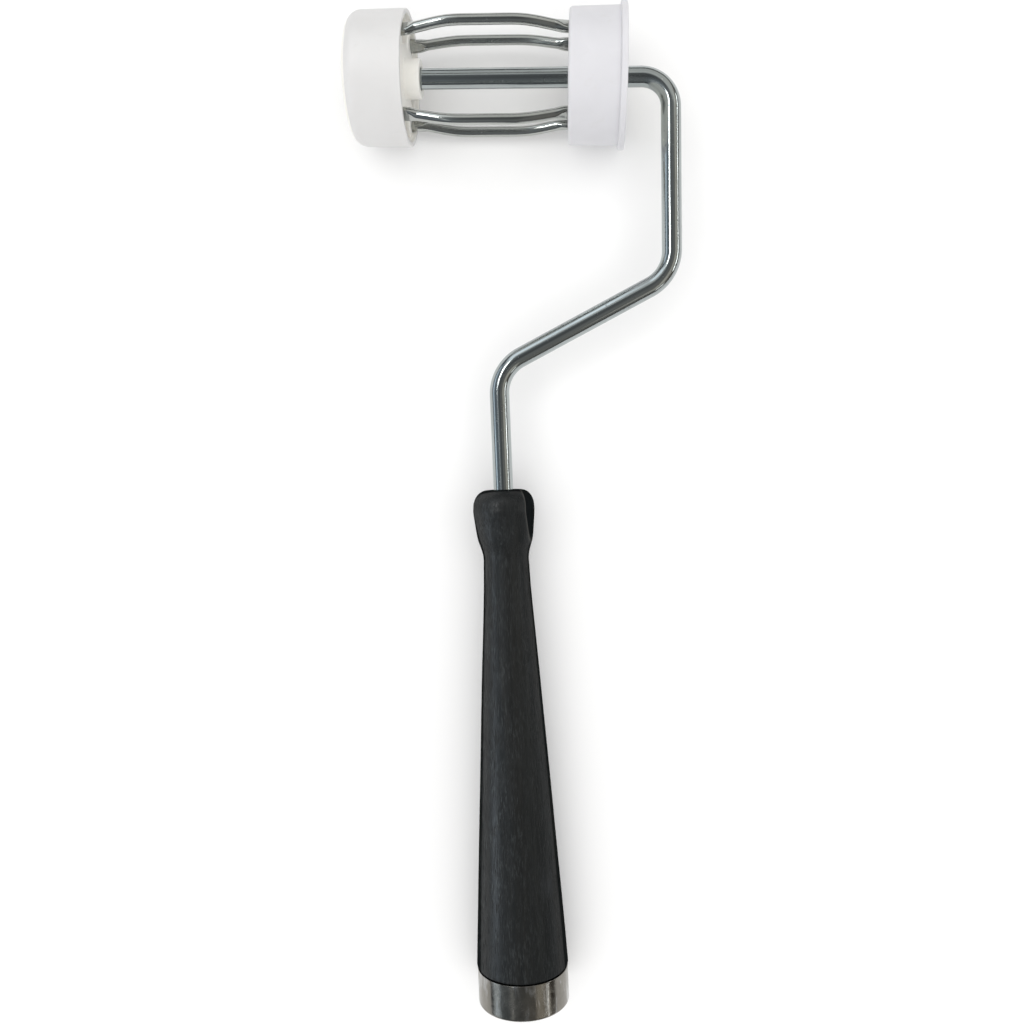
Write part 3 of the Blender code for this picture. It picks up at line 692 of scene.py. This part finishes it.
def stamped_steel(name, tint, seed):
    """Plain plated sheet steel, as small hardware has."""
    n = Surface(name)
    place = n.local()
    clouds = n.noise(place, 500 + seed, 5, 0.6, 0.5)
    grain = n.noise(place, 3800, 4, 0.65)
    colour = n.ramp(clouds, [(0.3, darker(tint, 0.75)), (0.7, tint)])
    rough = n.span(clouds, 0.3, 0.7, 0.40, 0.24)
    normal = n.bump(grain, 0.004 * MM)
    n.set(Base_Color=colour, Roughness=rough, Normal=normal, Metallic=1.0)
    return n.material


def floor_paper(name):
    """Matt off-white paper."""
    n = Surface(name)
    place = n.tree.nodes.new("ShaderNodeTexCoord").outputs["Object"]
    clouds = n.noise(place, 6, 3, 0.5)
    fibres = n.noise(place, 700, 4, 0.6)
    colour = n.ramp(clouds, [(0.3, 0.94), (0.7, 0.95)])
    n.set(Base_Color=colour, Roughness=0.9, Normal=n.bump(fibres, 0.01 * MM))
    return n.material


# ---- The rod ----


def heading(lean):
    """Direction down the handle's side in the tool frame, leaning from -Y towards +X."""
    return Vector((math.sin(lean), -math.cos(lean), 0))


def bend_points(before, corner, after, radius):
    """Points of the arc that rounds one corner of the rod's centre line."""
    arrive = (corner - before).normalized()
    leave = (after - corner).normalized()
    turn = arrive.angle(leave)
    start = corner - radius * math.tan(turn / 2) * arrive
    middle = start + radius * (leave - leave.dot(arrive) * arrive).normalized()
    count = round(turn / FINE_STEP)
    swing = Matrix.Rotation(math.copysign(turn / count, arrive.cross(leave).z), 3, "Z")
    points = [start]
    for _ in range(count):
        points.append(middle + swing @ (points[-1] - middle))
    return points


def rod_line():
    """Centre line of the rod in the tool frame, as (point, share) pairs.

    The share is how bent the rod is there, 0 on a straight and 1 in the middle of a bend.
    """
    rod_end = Vector((OUTBOARD_FACE + NUT_SET_BACK + NUT_SHEET + FIT_GAP, 0, 0))
    axle_corner = Vector((INBOARD_FACE + FLANGE_TO_LEG, 0, 0))
    leg_corner = axle_corner + LEG_LENGTH * heading(LEG_LEAN)
    shank_corner = leg_corner + DIAGONAL_LENGTH * heading(DIAGONAL_LEAN)
    tang_end = shank_corner + (SHANK_LENGTH + TANG_LENGTH) * heading(HANDLE_LEAN)
    bends = [
        bend_points(rod_end, axle_corner, leg_corner, AXLE_BEND_RADIUS),
        bend_points(axle_corner, leg_corner, shank_corner, CROOK_BEND_RADIUS),
        bend_points(leg_corner, shank_corner, tang_end, CROOK_BEND_RADIUS),
    ]
    line = straight_run(rod_end, bends[0][0])
    for bend, after in zip(bends, [bends[1][0], bends[2][0], tang_end]):
        count = len(bend) - 1
        line += [(p, math.sin(math.pi * i / count)) for i, p in enumerate(bend[:-1])]
        line += straight_run(bend[-1], after)
    line.append((tang_end, 0.0))
    return line


def straight_run(start, end, spacing=0.8 * MM):
    """Evenly spaced points of a straight, without its end, for the rod's line."""
    count = math.ceil((end - start).length / spacing)
    return [(start.lerp(end, i / count), 0.0) for i in range(count)]


def ease(share):
    """Smooth step from 0 to 1, as a half wave."""
    share = min(max(share, 0.0), 1.0)
    return (1 - math.cos(math.pi * share)) / 2


def ear_share(point):
    """How far the rod is pinched out into its ears at a point of its line."""
    if abs(point.y) > 0.1 * MM:
        return 0.0
    end = INBOARD_FACE - EAR_SET_BACK
    inside = min(point.x - (end - EAR_LENGTH), end - point.x)
    return ease(inside / (EAR_EASE_SHARE * EAR_LENGTH))


def build_rod():
    """The bent rod, lofted along its line. Its coordinates for the plating run along it."""
    line = rod_line()
    rings = []
    straight = []
    along = 0.0
    for i, (point, bent) in enumerate(line):
        before = line[max(i - 1, 0)][0]
        after = line[min(i + 1, len(line) - 1)][0]
        tangent = (after - before).normalized()
        side = Vector((-tangent.y, tangent.x, 0))
        if i:
            along += (point - before).length
        # A bend draws the rod a little flat in its own plane.
        in_plane = ROD_RADIUS * (1 - BEND_FLATTENING * bent)
        ears = ear_share(point)
        end_round = 1 - ROD_END_TAPER * (1 - ease(along / ROD_END_ROUNDING))
        ring = []
        places = []
        for j in range(ROD_SIDES):
            angle = math.tau * j / ROD_SIDES
            c, s = math.cos(angle), math.sin(angle)
            wing = ears * (EAR_SPAN / 2 / ROD_RADIUS - 1) * abs(c) ** EAR_SHARPNESS
            pinch = 1 - EAR_PINCH * ears * s * s
            out = side * in_plane * c * (1 + wing) + Vector((0, 0, ROD_RADIUS * s * pinch))
            ring.append(point + out * end_round)
            places.append((ROD_RADIUS * c, ROD_RADIUS * s, along))
        rings.append(ring)
        straight.append(places)
    shape = loft(rings, straight)
    plating = plated_steel("rod_plating", (0.42, 0.455, 0.455), 0)
    add_piece("bent_rod", shape, tool, "frame", "frame_rod", plating, 60)


# ---- The cage ----


def cut_cap(shape, name, web, into, end):
    """Core a cap out between its wires, and cut its wire sockets."""
    middles = [angle + math.pi / WIRE_COUNT for angle in WIRE_ANGLES]
    outer = CAP_RADIUS - POCKET_WALL

    def pocket(grow):
        return sector_outline(BOSS_RADIUS, outer, POCKET_HALF_ANGLE, POCKET_CORNER, grow)

    def socket(grow):
        # The socket's outer side is too near the cap's wall to be chamfered more.
        less = min(grow, SOCKET_WALL / 2)
        return box_outline(WIRE_SEAT_RADIUS, SOCKET_HALF_THICKNESS, SOCKET_HALF_WIDTH,
                           SOCKET_CORNER, less)

    cutters = [
        cutter(name + "_pockets", pocket, middles, web, into, end - into * END_WALL),
        cutter(name + "_sockets", socket, WIRE_ANGLES, web, into, web + into * WIRE_SOCKET_DEPTH),
    ]
    return cut(shape, cutters)


def build_outboard_cap():
    """The closed cap, with a hub that stands out of its mouth and a recess for the push nut."""
    rim = OUTBOARD_MOUTH_ROUNDING
    small = CAP_RADIUS - CAP_DRAFT
    hub_end = OUTBOARD_HUB_END
    seat = OUTBOARD_FACE + NUT_SET_BACK + NUT_HEIGHT + 2 * FIT_GAP + WASHER_THICKNESS
    fillet = CAP_FILLET
    outline = arc((BORE_RADIUS + HUB_EDGE, hub_end - HUB_EDGE), HUB_EDGE, HALF, RIGHT)
    outline += arc((HUB_RADIUS - HUB_EDGE, hub_end - HUB_EDGE), HUB_EDGE, RIGHT, 0)
    outline += arc((HUB_RADIUS + fillet, OUTBOARD_WEB + fillet), fillet, HALF, RIGHT * 3)
    outline += arc((MOUTH_INNER_RADIUS - fillet, OUTBOARD_WEB + fillet), fillet, -RIGHT, 0)
    outline += arc((MOUTH_INNER_RADIUS + rim, OUTBOARD_MOUTH - rim), rim, HALF, RIGHT)
    outline += arc((CAP_RADIUS - rim, OUTBOARD_MOUTH - rim), rim, RIGHT, 0)
    end_centre = (small - OUTER_END_ROUNDING, OUTBOARD_FACE + OUTER_END_ROUNDING)
    outline += arc(end_centre, OUTER_END_ROUNDING, 0, -RIGHT, math.radians(4))
    outline += arc((RECESS_RADIUS + fillet, OUTBOARD_FACE + fillet), fillet, -RIGHT, -HALF)
    outline += arc((RECESS_RADIUS - fillet, seat - fillet), fillet, 0, RIGHT)
    outline += arc((BORE_RADIUS + HUB_EDGE, seat + HUB_EDGE), HUB_EDGE, -RIGHT, -HALF)
    shape = revolve(outline, CAP_SEGMENTS)
    shape = cut_cap(shape, "outboard", OUTBOARD_WEB, -1, OUTBOARD_FACE)
    nylon = white_plastic("outboard_nylon", (0.720, 0.716, 0.712), 0)
    add_piece("outboard_end_cap", shape, cage_frame, "cage", "outboard_cap",
              nylon)


def build_inboard_cap():
    """The cap with the flange that stops a cover, and a recess for the rod's ears."""
    rim = INBOARD_MOUTH_ROUNDING
    small = CAP_RADIUS - CAP_DRAFT
    edge = FLANGE_ROUNDING
    fillet = CAP_FILLET
    lip = INBOARD_LIP_ROUNDING
    back = INBOARD_FACE - FLANGE_THICKNESS
    ear_start = INBOARD_FACE - EAR_SET_BACK - EAR_LENGTH
    seat = ear_start - 2 * FIT_GAP - WASHER_THICKNESS
    hub_end = INBOARD_MOUTH + INBOARD_HUB_SET_BACK
    outline = arc((BORE_RADIUS + HUB_EDGE, seat - HUB_EDGE), HUB_EDGE, HALF, RIGHT)
    outline += arc((RECESS_RADIUS - fillet, seat + fillet), fillet, -RIGHT, 0)
    outline += arc((RECESS_RADIUS + fillet, INBOARD_FACE - fillet), fillet, HALF, RIGHT)
    outline += arc((FLANGE_RADIUS - edge, INBOARD_FACE - edge), edge, RIGHT, 0)
    outline += arc((FLANGE_RADIUS - edge, back + edge), edge, 0, -RIGHT)
    outline += arc((CAP_RADIUS + fillet / 2, back - fillet / 2), fillet / 2, RIGHT, HALF)
    outline += arc((small - rim, INBOARD_MOUTH + rim), rim, 0, -RIGHT)
    outline += arc((MOUTH_INNER_RADIUS + lip, INBOARD_MOUTH + lip), lip, -RIGHT, -HALF)
    outline += arc((MOUTH_INNER_RADIUS - fillet, INBOARD_WEB - fillet), fillet, 0, RIGHT)
    outline += arc((HUB_RADIUS + fillet, INBOARD_WEB - fillet), fillet, RIGHT, HALF)
    outline += arc((HUB_RADIUS - HUB_EDGE, hub_end + HUB_EDGE), HUB_EDGE, 0, -RIGHT)
    outline += arc((BORE_RADIUS + HUB_EDGE, hub_end + HUB_EDGE), HUB_EDGE, -RIGHT, -HALF)
    shape = revolve(outline, CAP_SEGMENTS)
    shape = cut_cap(shape, "inboard", INBOARD_WEB, 1, INBOARD_FACE)
    nylon = white_plastic("inboard_nylon", (0.712, 0.710, 0.738), 7)
    add_piece("inboard_end_cap", shape, cage_frame, "cage", "inboard_cap",
              nylon)


def wire_section(along):
    """Radius from the axle, half width, half thickness and squareness at a place on a wire."""
    middle = (OUTBOARD_MOUTH + INBOARD_MOUTH) / 2
    if along < middle:
        outside = along - OUTBOARD_WEB
        run = middle - WIRE_FLAT_LENGTH / 2 - OUTBOARD_WEB
    else:
        outside = INBOARD_WEB - along
        run = INBOARD_WEB - middle - WIRE_FLAT_LENGTH / 2
    rise = 1 - ease(1 - outside / run) ** WIRE_BOW_POWER
    radius = WIRE_SEAT_RADIUS + (WIRE_BOW_RADIUS - WIRE_SEAT_RADIUS) * rise
    round_share = ease((outside - PADDLE_FULL) / (PADDLE_START - PADDLE_FULL))
    half_width = PADDLE_HALF_WIDTH + (WIRE_RADIUS - PADDLE_HALF_WIDTH) * round_share
    half_thickness = PADDLE_HALF_THICKNESS + (WIRE_RADIUS - PADDLE_HALF_THICKNESS) * round_share
    squareness = 5 - 3 * round_share
    return radius, half_width, half_thickness, squareness


def signed_power(value, power):
    """A power of a value's size, with the value's sign."""
    return math.copysign(abs(value) ** power, value)


def build_wire(number, angle):
    """One bowed wire, lofted from its flattened ends to its round middle."""
    start = OUTBOARD_WEB - WIRE_SOCKET_DEPTH + FIT_GAP
    end = INBOARD_WEB + WIRE_SOCKET_DEPTH - FIT_GAP
    step = (end - start) / WIRE_RINGS
    rings = []
    straight = []
    for i in range(WIRE_RINGS + 1):
        along = start + i * step
        radius, half_width, half_thickness, squareness = wire_section(along)
        slope = (wire_section(along + step)[0] - wire_section(along - step)[0]) / (2 * step)
        outward = Vector((1, 0, -slope)).normalized()
        ring = []
        places = []
        for j in range(WIRE_SIDES):
            turn = math.tau * j / WIRE_SIDES
            across = half_width * signed_power(math.sin(turn), 2 / squareness)
            out = half_thickness * signed_power(math.cos(turn), 2 / squareness)
            ring.append(Vector((radius, across, along)) + out * outward)
            # Each wire takes its plating from another stretch of the pattern.
            places.append((out, across, along + 0.2 * number))
        rings.append(ring)
        straight.append(places)
    place = cage_frame @ Matrix.Rotation(angle, 4, "Z")
    shape = loft(rings, straight)
    plating = plated_steel(f"wire_plating_{number}", (0.47, 0.485, 0.465), number * 3)
    add_piece(f"bowed_wire_{number}", shape, place, "cage",
              f"cage_wire_{number}", plating, 50)


# ---- Retaining hardware ----


def build_washer(name, node, seed):
    """A flat washer, as thick as its CAD node and in the same place."""
    low, high = node_range(node, cage_frame)
    edge = WASHER_EDGE
    outline = arc((BORE_RADIUS + edge, high.z - edge), edge, HALF, RIGHT)
    outline += arc((WASHER_RADIUS - edge, high.z - edge), edge, RIGHT, 0)
    outline += arc((WASHER_RADIUS - edge, low.z + edge), edge, 0, -RIGHT)
    outline += arc((BORE_RADIUS + edge, low.z + edge), edge, -RIGHT, -HALF)
    shape = revolve(outline, SMALL_SEGMENTS)
    plating = stamped_steel(name + "_plating", (0.56, 0.56, 0.545), seed)
    add_piece(name, shape, cage_frame, "frame", node, plating)


def build_push_nut():
    """The capped push nut: a domed cap with a flange, of one thickness of sheet."""
    low, high = node_range("push_nut", cage_frame)
    dome = BORE_RADIUS + NUT_SHEET
    edge = NUT_EDGE
    root = NUT_ROOT_FILLET
    flange_back = high.z - NUT_SHEET
    outline = [(0, low.z + NUT_SHEET)]
    outline += arc((BORE_RADIUS - root, low.z + NUT_SHEET + root), root, -RIGHT, 0)
    outline += arc((NUT_FLANGE_RADIUS - edge, high.z - edge), edge, RIGHT, 0)
    outline += arc((NUT_FLANGE_RADIUS - edge, flange_back + edge), edge, 0, -RIGHT)
    outline += arc((dome + root, flange_back - root), root, RIGHT, HALF)
    dome_centre = (dome - NUT_DOME_ROUNDING, low.z + NUT_DOME_ROUNDING)
    outline += arc(dome_centre, NUT_DOME_ROUNDING, 0, -RIGHT)
    outline.append((0, low.z))
    shape = revolve(outline, SMALL_SEGMENTS)
    plating = stamped_steel("push_nut_plating", (0.60, 0.60, 0.58), 5)
    add_piece("capped_push_nut", shape, cage_frame, "frame", "push_nut", plating)


# ---- The handle ----


def smooth_outline(knots, spacing):
    """A curve through (z, r) knots, its slopes taken from each knot's neighbours."""
    slopes = []
    for i in range(len(knots)):
        z0, r0 = knots[max(i - 1, 0)]
        z1, r1 = knots[min(i + 1, len(knots) - 1)]
        slopes.append((r1 - r0) / (z1 - z0))
    points = []
    for i in range(len(knots) - 1):
        (z0, r0), (z1, r1) = knots[i], knots[i + 1]
        span = z1 - z0
        count = math.ceil(span / spacing)
        for j in range(count):
            t = j / count
            r = (2 * t**3 - 3 * t**2 + 1) * r0 + (3 * t**2 - 2 * t**3) * r1
            r += (t**3 - 2 * t**2 + t) * span * slopes[i] + (t**3 - t**2) * span * slopes[i + 1]
            points.append((r, z0 + t * span))
    points.append((knots[-1][1], knots[-1][0]))
    return points


def soft_least(first, second, softness):
    """The smaller of two sizes, with the corner between them rounded off."""
    gap = abs(first - second) / softness
    return min(first, second) - softness * math.log1p(math.exp(-gap))


def head_flat(z):
    """How far the head's flats are from its axis at a height. They round over at the top."""
    into_rounding = max(0.0, 1 - z / HEAD_TOP_ROUNDING)
    return HEAD_FLAT_OFFSET - HEAD_FLAT_TOP_INSET * (1 - math.sqrt(1 - into_rounding**2))


def ridge_wear_and_sheen(x, y, z):
    """How much wear and painted highlight the turned wood has: fully along the ridges at the edges of the head's
    flats.
    """
    if not 0 < z < NECK_START:
        return 0.0
    across = abs(x * math.cos(HEAD_FLAT_TURN) + y * math.sin(HEAD_FLAT_TURN))
    return math.exp(-(((across - head_flat(z)) / RIDGE_WEAR_AND_SHEEN_WIDTH) ** 2))


def shaped_wood(x, y, z):
    """Plane the two flats on the head, and leave the grip very slightly uneven."""
    radius = math.hypot(x, y)
    # The points close round the axis belong to the hole for the rod and stay where they are.
    if z < NECK_START + NECK_LENGTH and radius > ROD_RADIUS * 1.5:
        c, s = math.cos(HEAD_FLAT_TURN), math.sin(HEAD_FLAT_TURN)
        across, along = x * c + y * s, y * c - x * s
        planed = soft_least(abs(across), head_flat(z), HEAD_RIDGE_SOFTNESS)
        across = math.copysign(planed, across)
        return across * c - along * s, across * s + along * c, z
    if z < GRIP_END and radius > NECK_RADIUS * 0.9:
        angle = math.atan2(y, x)
        start = ease((z - NECK_START - NECK_LENGTH) / GRIP_EASE_LENGTH)
        stop = ease((GRIP_END - 2 * MM - z) / GRIP_EASE_LENGTH)
        wave = math.sin(2 * angle + z * 55) + 0.6 * math.sin(3 * angle - z * 140 + 1.3)
        scale = 1 + GRIP_UNEVENNESS * wave * start * stop / radius
        return x * scale, y * scale, z
    return x, y, z


def build_handle():
    """The turned handle: rod hole, head, neck, grip, the tenon in the ferrule and its hole."""
    sleeve_hole = SLEEVE_RADIUS + FIT_GAP
    tenon = FERRULE_INNER_RADIUS - FIT_GAP
    tenon_end = HANDLE_LENGTH - FERRULE_WALL - FIT_GAP
    neck_end = NECK_START + NECK_LENGTH
    grip = GRIP_END - GRIP_END_ROUNDING
    rise = GRIP_END_RADIUS - NECK_RADIUS
    knots = [
        (HEAD_TOP_ROUNDING, HEAD_TOP_RADIUS),
        (HEAD_WIDEST, HEAD_RADIUS),
        (HEAD_WAIST, HEAD_WAIST_RADIUS),
        (HEAD_LENGTH, HEAD_FOOT_RADIUS),
        (NECK_START, NECK_RADIUS),
        (neck_end, NECK_RADIUS),
    ]
    for length_share, rise_share in GRIP_SWELL:
        knots.append((neck_end + length_share * (grip - neck_end), NECK_RADIUS + rise_share * rise))
    curve = smooth_outline(knots, HANDLE_SPACING)
    hole_edge = 0.3 * MM
    top_centre = (HEAD_TOP_RADIUS - HEAD_TOP_ROUNDING, HEAD_TOP_ROUNDING)
    top = arc((BORE_RADIUS + hole_edge, hole_edge), hole_edge, HALF, RIGHT * 3)
    top += arc(top_centre, HEAD_TOP_ROUNDING, -RIGHT, 0, math.radians(4))[:-1]
    outline = [(0, TANG_LENGTH + FIT_GAP), (BORE_RADIUS, TANG_LENGTH + FIT_GAP)]
    outline += filled_in(top, 0.3 * MM)
    outline += curve
    end_centre = (GRIP_END_RADIUS - GRIP_END_ROUNDING, grip)
    outline += arc(end_centre, GRIP_END_ROUNDING, 0, RIGHT)[1:]
    outline += [
        (tenon, GRIP_END),
        (tenon, tenon_end),
        (sleeve_hole, tenon_end),
        (sleeve_hole, HANDLE_LENGTH - POLE_SOCKET_DEPTH - FIT_GAP),
        (0, HANDLE_LENGTH - POLE_SOCKET_DEPTH - FIT_GAP),
    ]
    shape = revolve(outline, HANDLE_SEGMENTS, shaped_wood, ridge_wear_and_sheen)
    wood = stained_wood("black_stained_wood")
    add_piece("turned_handle", shape, handle_frame, "frame", "wood_handle", wood, 50)


def rolled_thread(x, y, z):
    """Press a rolled thread into the ferrule's sleeve. It fades out at both ends."""
    radius = math.hypot(x, y)
    sleeve_start = HANDLE_LENGTH - POLE_SOCKET_DEPTH
    if radius > SLEEVE_RADIUS + 0.01 * MM:
        return x, y, z  # the skirt
    near_mouth = ease((HANDLE_LENGTH - THREAD_MOUTH_GAP - z) / THREAD_EASE_LENGTH)
    near_end = ease((z - sleeve_start - THREAD_END_GAP) / THREAD_EASE_LENGTH)
    turns = z / THREAD_PITCH - math.atan2(y, x) / math.tau
    wave = (1 - math.cos(math.tau * turns)) / 2
    scale = 1 - THREAD_DEPTH * wave * near_mouth * near_end / radius
    return x * scale, y * scale, z


def build_ferrule():
    """The ferrule: a skirt over the handle's end, and a threaded sleeve drawn into it."""
    skirt_top = HANDLE_LENGTH - FERRULE_LENGTH
    wall_back = HANDLE_LENGTH - FERRULE_WALL
    sleeve_end = HANDLE_LENGTH - POLE_SOCKET_DEPTH
    edge = FERRULE_WALL
    burr = FERRULE_BURR
    outline = arc((FERRULE_RADIUS - burr, skirt_top + burr), burr, -RIGHT, 0)
    outline += arc((FERRULE_RADIUS - edge, HANDLE_LENGTH - edge), edge, 0, RIGHT)
    lip_centre = (POLE_SOCKET_RADIUS + edge / 2, HANDLE_LENGTH - edge / 2)
    outline += arc(lip_centre, edge / 2, RIGHT, HALF)
    outline += [
        (POLE_SOCKET_RADIUS, sleeve_end),
        (SLEEVE_RADIUS, sleeve_end),
        (SLEEVE_RADIUS, wall_back),
        (FERRULE_INNER_RADIUS, wall_back),
        (FERRULE_INNER_RADIUS, skirt_top),
    ]
    outline = filled_in(outline, 0.35 * MM)
    shape = revolve(outline, CAP_SEGMENTS, rolled_thread)
    nickel = ferrule_steel("ferrule_nickel")
    add_piece("drawn_ferrule", shape, handle_frame, "frame", "ferrule", nickel)


# ---- Floor, light and camera ----

FLOOR_SIZE = 40.0
FLOOR_GAP = 0.05 * MM
CEILING_BRIGHTNESS = 1.62
CEILING_SPREAD = math.radians(80)
CEILING_TILT = math.radians(7)
CARD_DISTANCE = 1.3
COOL, WARM, PLAIN = (0.80, 0.90, 1.0), (1.0, 0.94, 0.83), (0.99, 1.0, 0.99)
# Name, direction and tilt in degrees, shift along Y, size, brightness and colour
CARDS = [
    ("left_window", 180, 70, -0.2, (0.42, 2.2), 0.95, COOL),
    ("left_strip", 180, 25, -0.5, (0.10, 1.2), 0.6, PLAIN),
    ("left_near_window", 180, 66, -0.5, (0.36, 0.6), 2.2, COOL),
    ("left_lamp", 180, 26, 0.38, (0.13, 0.40), 15.0, PLAIN),
    ("right_window", 0, 69, 0.35, (0.12, 1.2), 5.0, PLAIN),
    ("near_window", 0, 68, -1.0, (0.15, 0.5), 2.6, PLAIN),
    ("right_wall", 0, 46, -0.2, (0.50, 1.9), 0.40, WARM),
    ("far_wall", 90, 50, 0.0, (1.2, 2.2), 0.55, (1.0, 0.985, 0.95)),
    ("far_left_window", 120, 52, 0.0, (0.55, 0.45), 0.9, COOL),
]
CAMERA_PLACE = Vector((28.05, -110.92, 304.61)) * MM
CAMERA_TURN = Vector((-0.0557, 0.0639, 0.0138))
CAMERA_LENS = 35.63
SENSOR_WIDTH = 36.0


def build_floor():
    """The paper floor, just under the tool."""
    shape = bmesh.new()
    bmesh.ops.create_grid(shape, x_segments=2, y_segments=2, size=FLOOR_SIZE / 2)
    floor = new_object("floor", new_mesh("floor", shape))
    floor.location.z = -FLOOR_GAP
    floor.data.materials.append(floor_paper("floor_paper"))


def add_card(name, toward, tilt, along, size, brightness, colour):
    """A lit card in a direction from the tool, tilted from overhead, moved along Y.

    A direction of 0 is towards +X, and 90 is towards +Y. A card is only seen in shiny things,
    and the matt ones are lit by the ceiling and the world.
    """
    data = bpy.data.lights.new(name, "AREA")
    data.shape = "RECTANGLE"
    data.size, data.size_y = size
    data.energy = brightness * math.pi * size[0] * size[1]
    data.color = colour
    card = new_object(name, data)
    turn = Matrix.Rotation(math.radians(toward), 4, "Z")
    turn = turn @ Matrix.Rotation(math.radians(tilt), 4, "Y")
    shift = Matrix.Translation((0, along, 0))
    card.matrix_world = shift @ turn @ Matrix.Translation((0, 0, CARD_DISTANCE))
    card.visible_diffuse = False


def build_lights():
    """An even ceiling for matt surfaces, and the windows and walls that shiny ones show."""
    data = bpy.data.lights.new("soft_ceiling", "SUN")
    data.energy = CEILING_BRIGHTNESS
    data.angle = CEILING_SPREAD
    data.color = (1.0, 0.995, 0.985)
    ceiling = new_object("soft_ceiling", data)
    # The ceiling's light is even, so nothing shiny shows it as a shape.
    ceiling.visible_glossy = False
    ceiling.rotation_euler = (CEILING_TILT, 0, 0)
    for card in CARDS:
        add_card(*card)


def build_world():
    """What lies all round: a plain room for shiny things, and an even fill for matt ones.

    The room is dark near the horizon and where a person leans over the tool. The camera sees
    white.
    """
    world = bpy.data.worlds.new("studio")
    bpy.context.scene.world = world
    world.use_nodes = True
    n = Nodes(world.node_tree)
    direction = n.tree.nodes.new("ShaderNodeTexCoord").outputs["Generated"]
    x, _, z = n.split(direction)
    room = n.ramp(z, [(0.0, 0.07), (0.13, 0.09), (0.32, 0.23), (1.0, 0.25)])
    off_centre = n.scaled(direction, (1.0, 0.4, 0), shift=(0.03, 0.05, 0))
    away = n.tree.nodes.new("ShaderNodeVectorMath")
    away.operation = "LENGTH"
    n.link(off_centre, away.inputs[0])
    person = n.ramp(away.outputs["Value"], [(0.08, 0.50), (0.24, 1.0)])
    cool_side, warm_side = (0.80, 0.96, 1.14), (1.00, 0.90, 0.76)
    side = n.ramp(n.span(x, -1.0, 1.0, 0.0, 1.0), [(0.0, cool_side), (1.0, warm_side)])
    reflected = n.mix(1.0, n.mix(1.0, room, person, "MULTIPLY"), side, "MULTIPLY")
    rays = n.tree.nodes.new("ShaderNodeLightPath").outputs
    fill = n.mix(rays["Is Camera Ray"], (0.66, 0.66, 0.66), (1.0, 1.0, 1.0))
    seen = n.mix(rays["Is Glossy Ray"], fill, reflected)
    n.link(seen, n.tree.nodes["Background"].inputs["Color"])
    world.cycles.sampling_method = "NONE"


def build_camera():
    """The camera, looking down at the tool from the handle's side."""
    data = bpy.data.cameras.new("camera")
    data.sensor_width = SENSOR_WIDTH
    data.lens = CAMERA_LENS
    data.clip_start = 0.01
    camera = new_object("camera", data)
    turn = Matrix.Rotation(CAMERA_TURN.length, 4, CAMERA_TURN.normalized())
    camera.matrix_world = tool @ Matrix.Translation(CAMERA_PLACE) @ turn
    bpy.context.scene.camera = camera


build_rod()
build_outboard_cap()
build_inboard_cap()
for index, wire_angle in enumerate(WIRE_ANGLES):
    build_wire(index + 1, wire_angle)
build_washer("outboard_thrust_washer", "outboard_washer", 11)
build_washer("inboard_thrust_washer", "inboard_washer", 23)
build_push_nut()
build_handle()
build_ferrule()
build_floor()
build_lights()
build_world()
build_camera()
bpy.context.scene.view_settings.view_transform = "Standard"
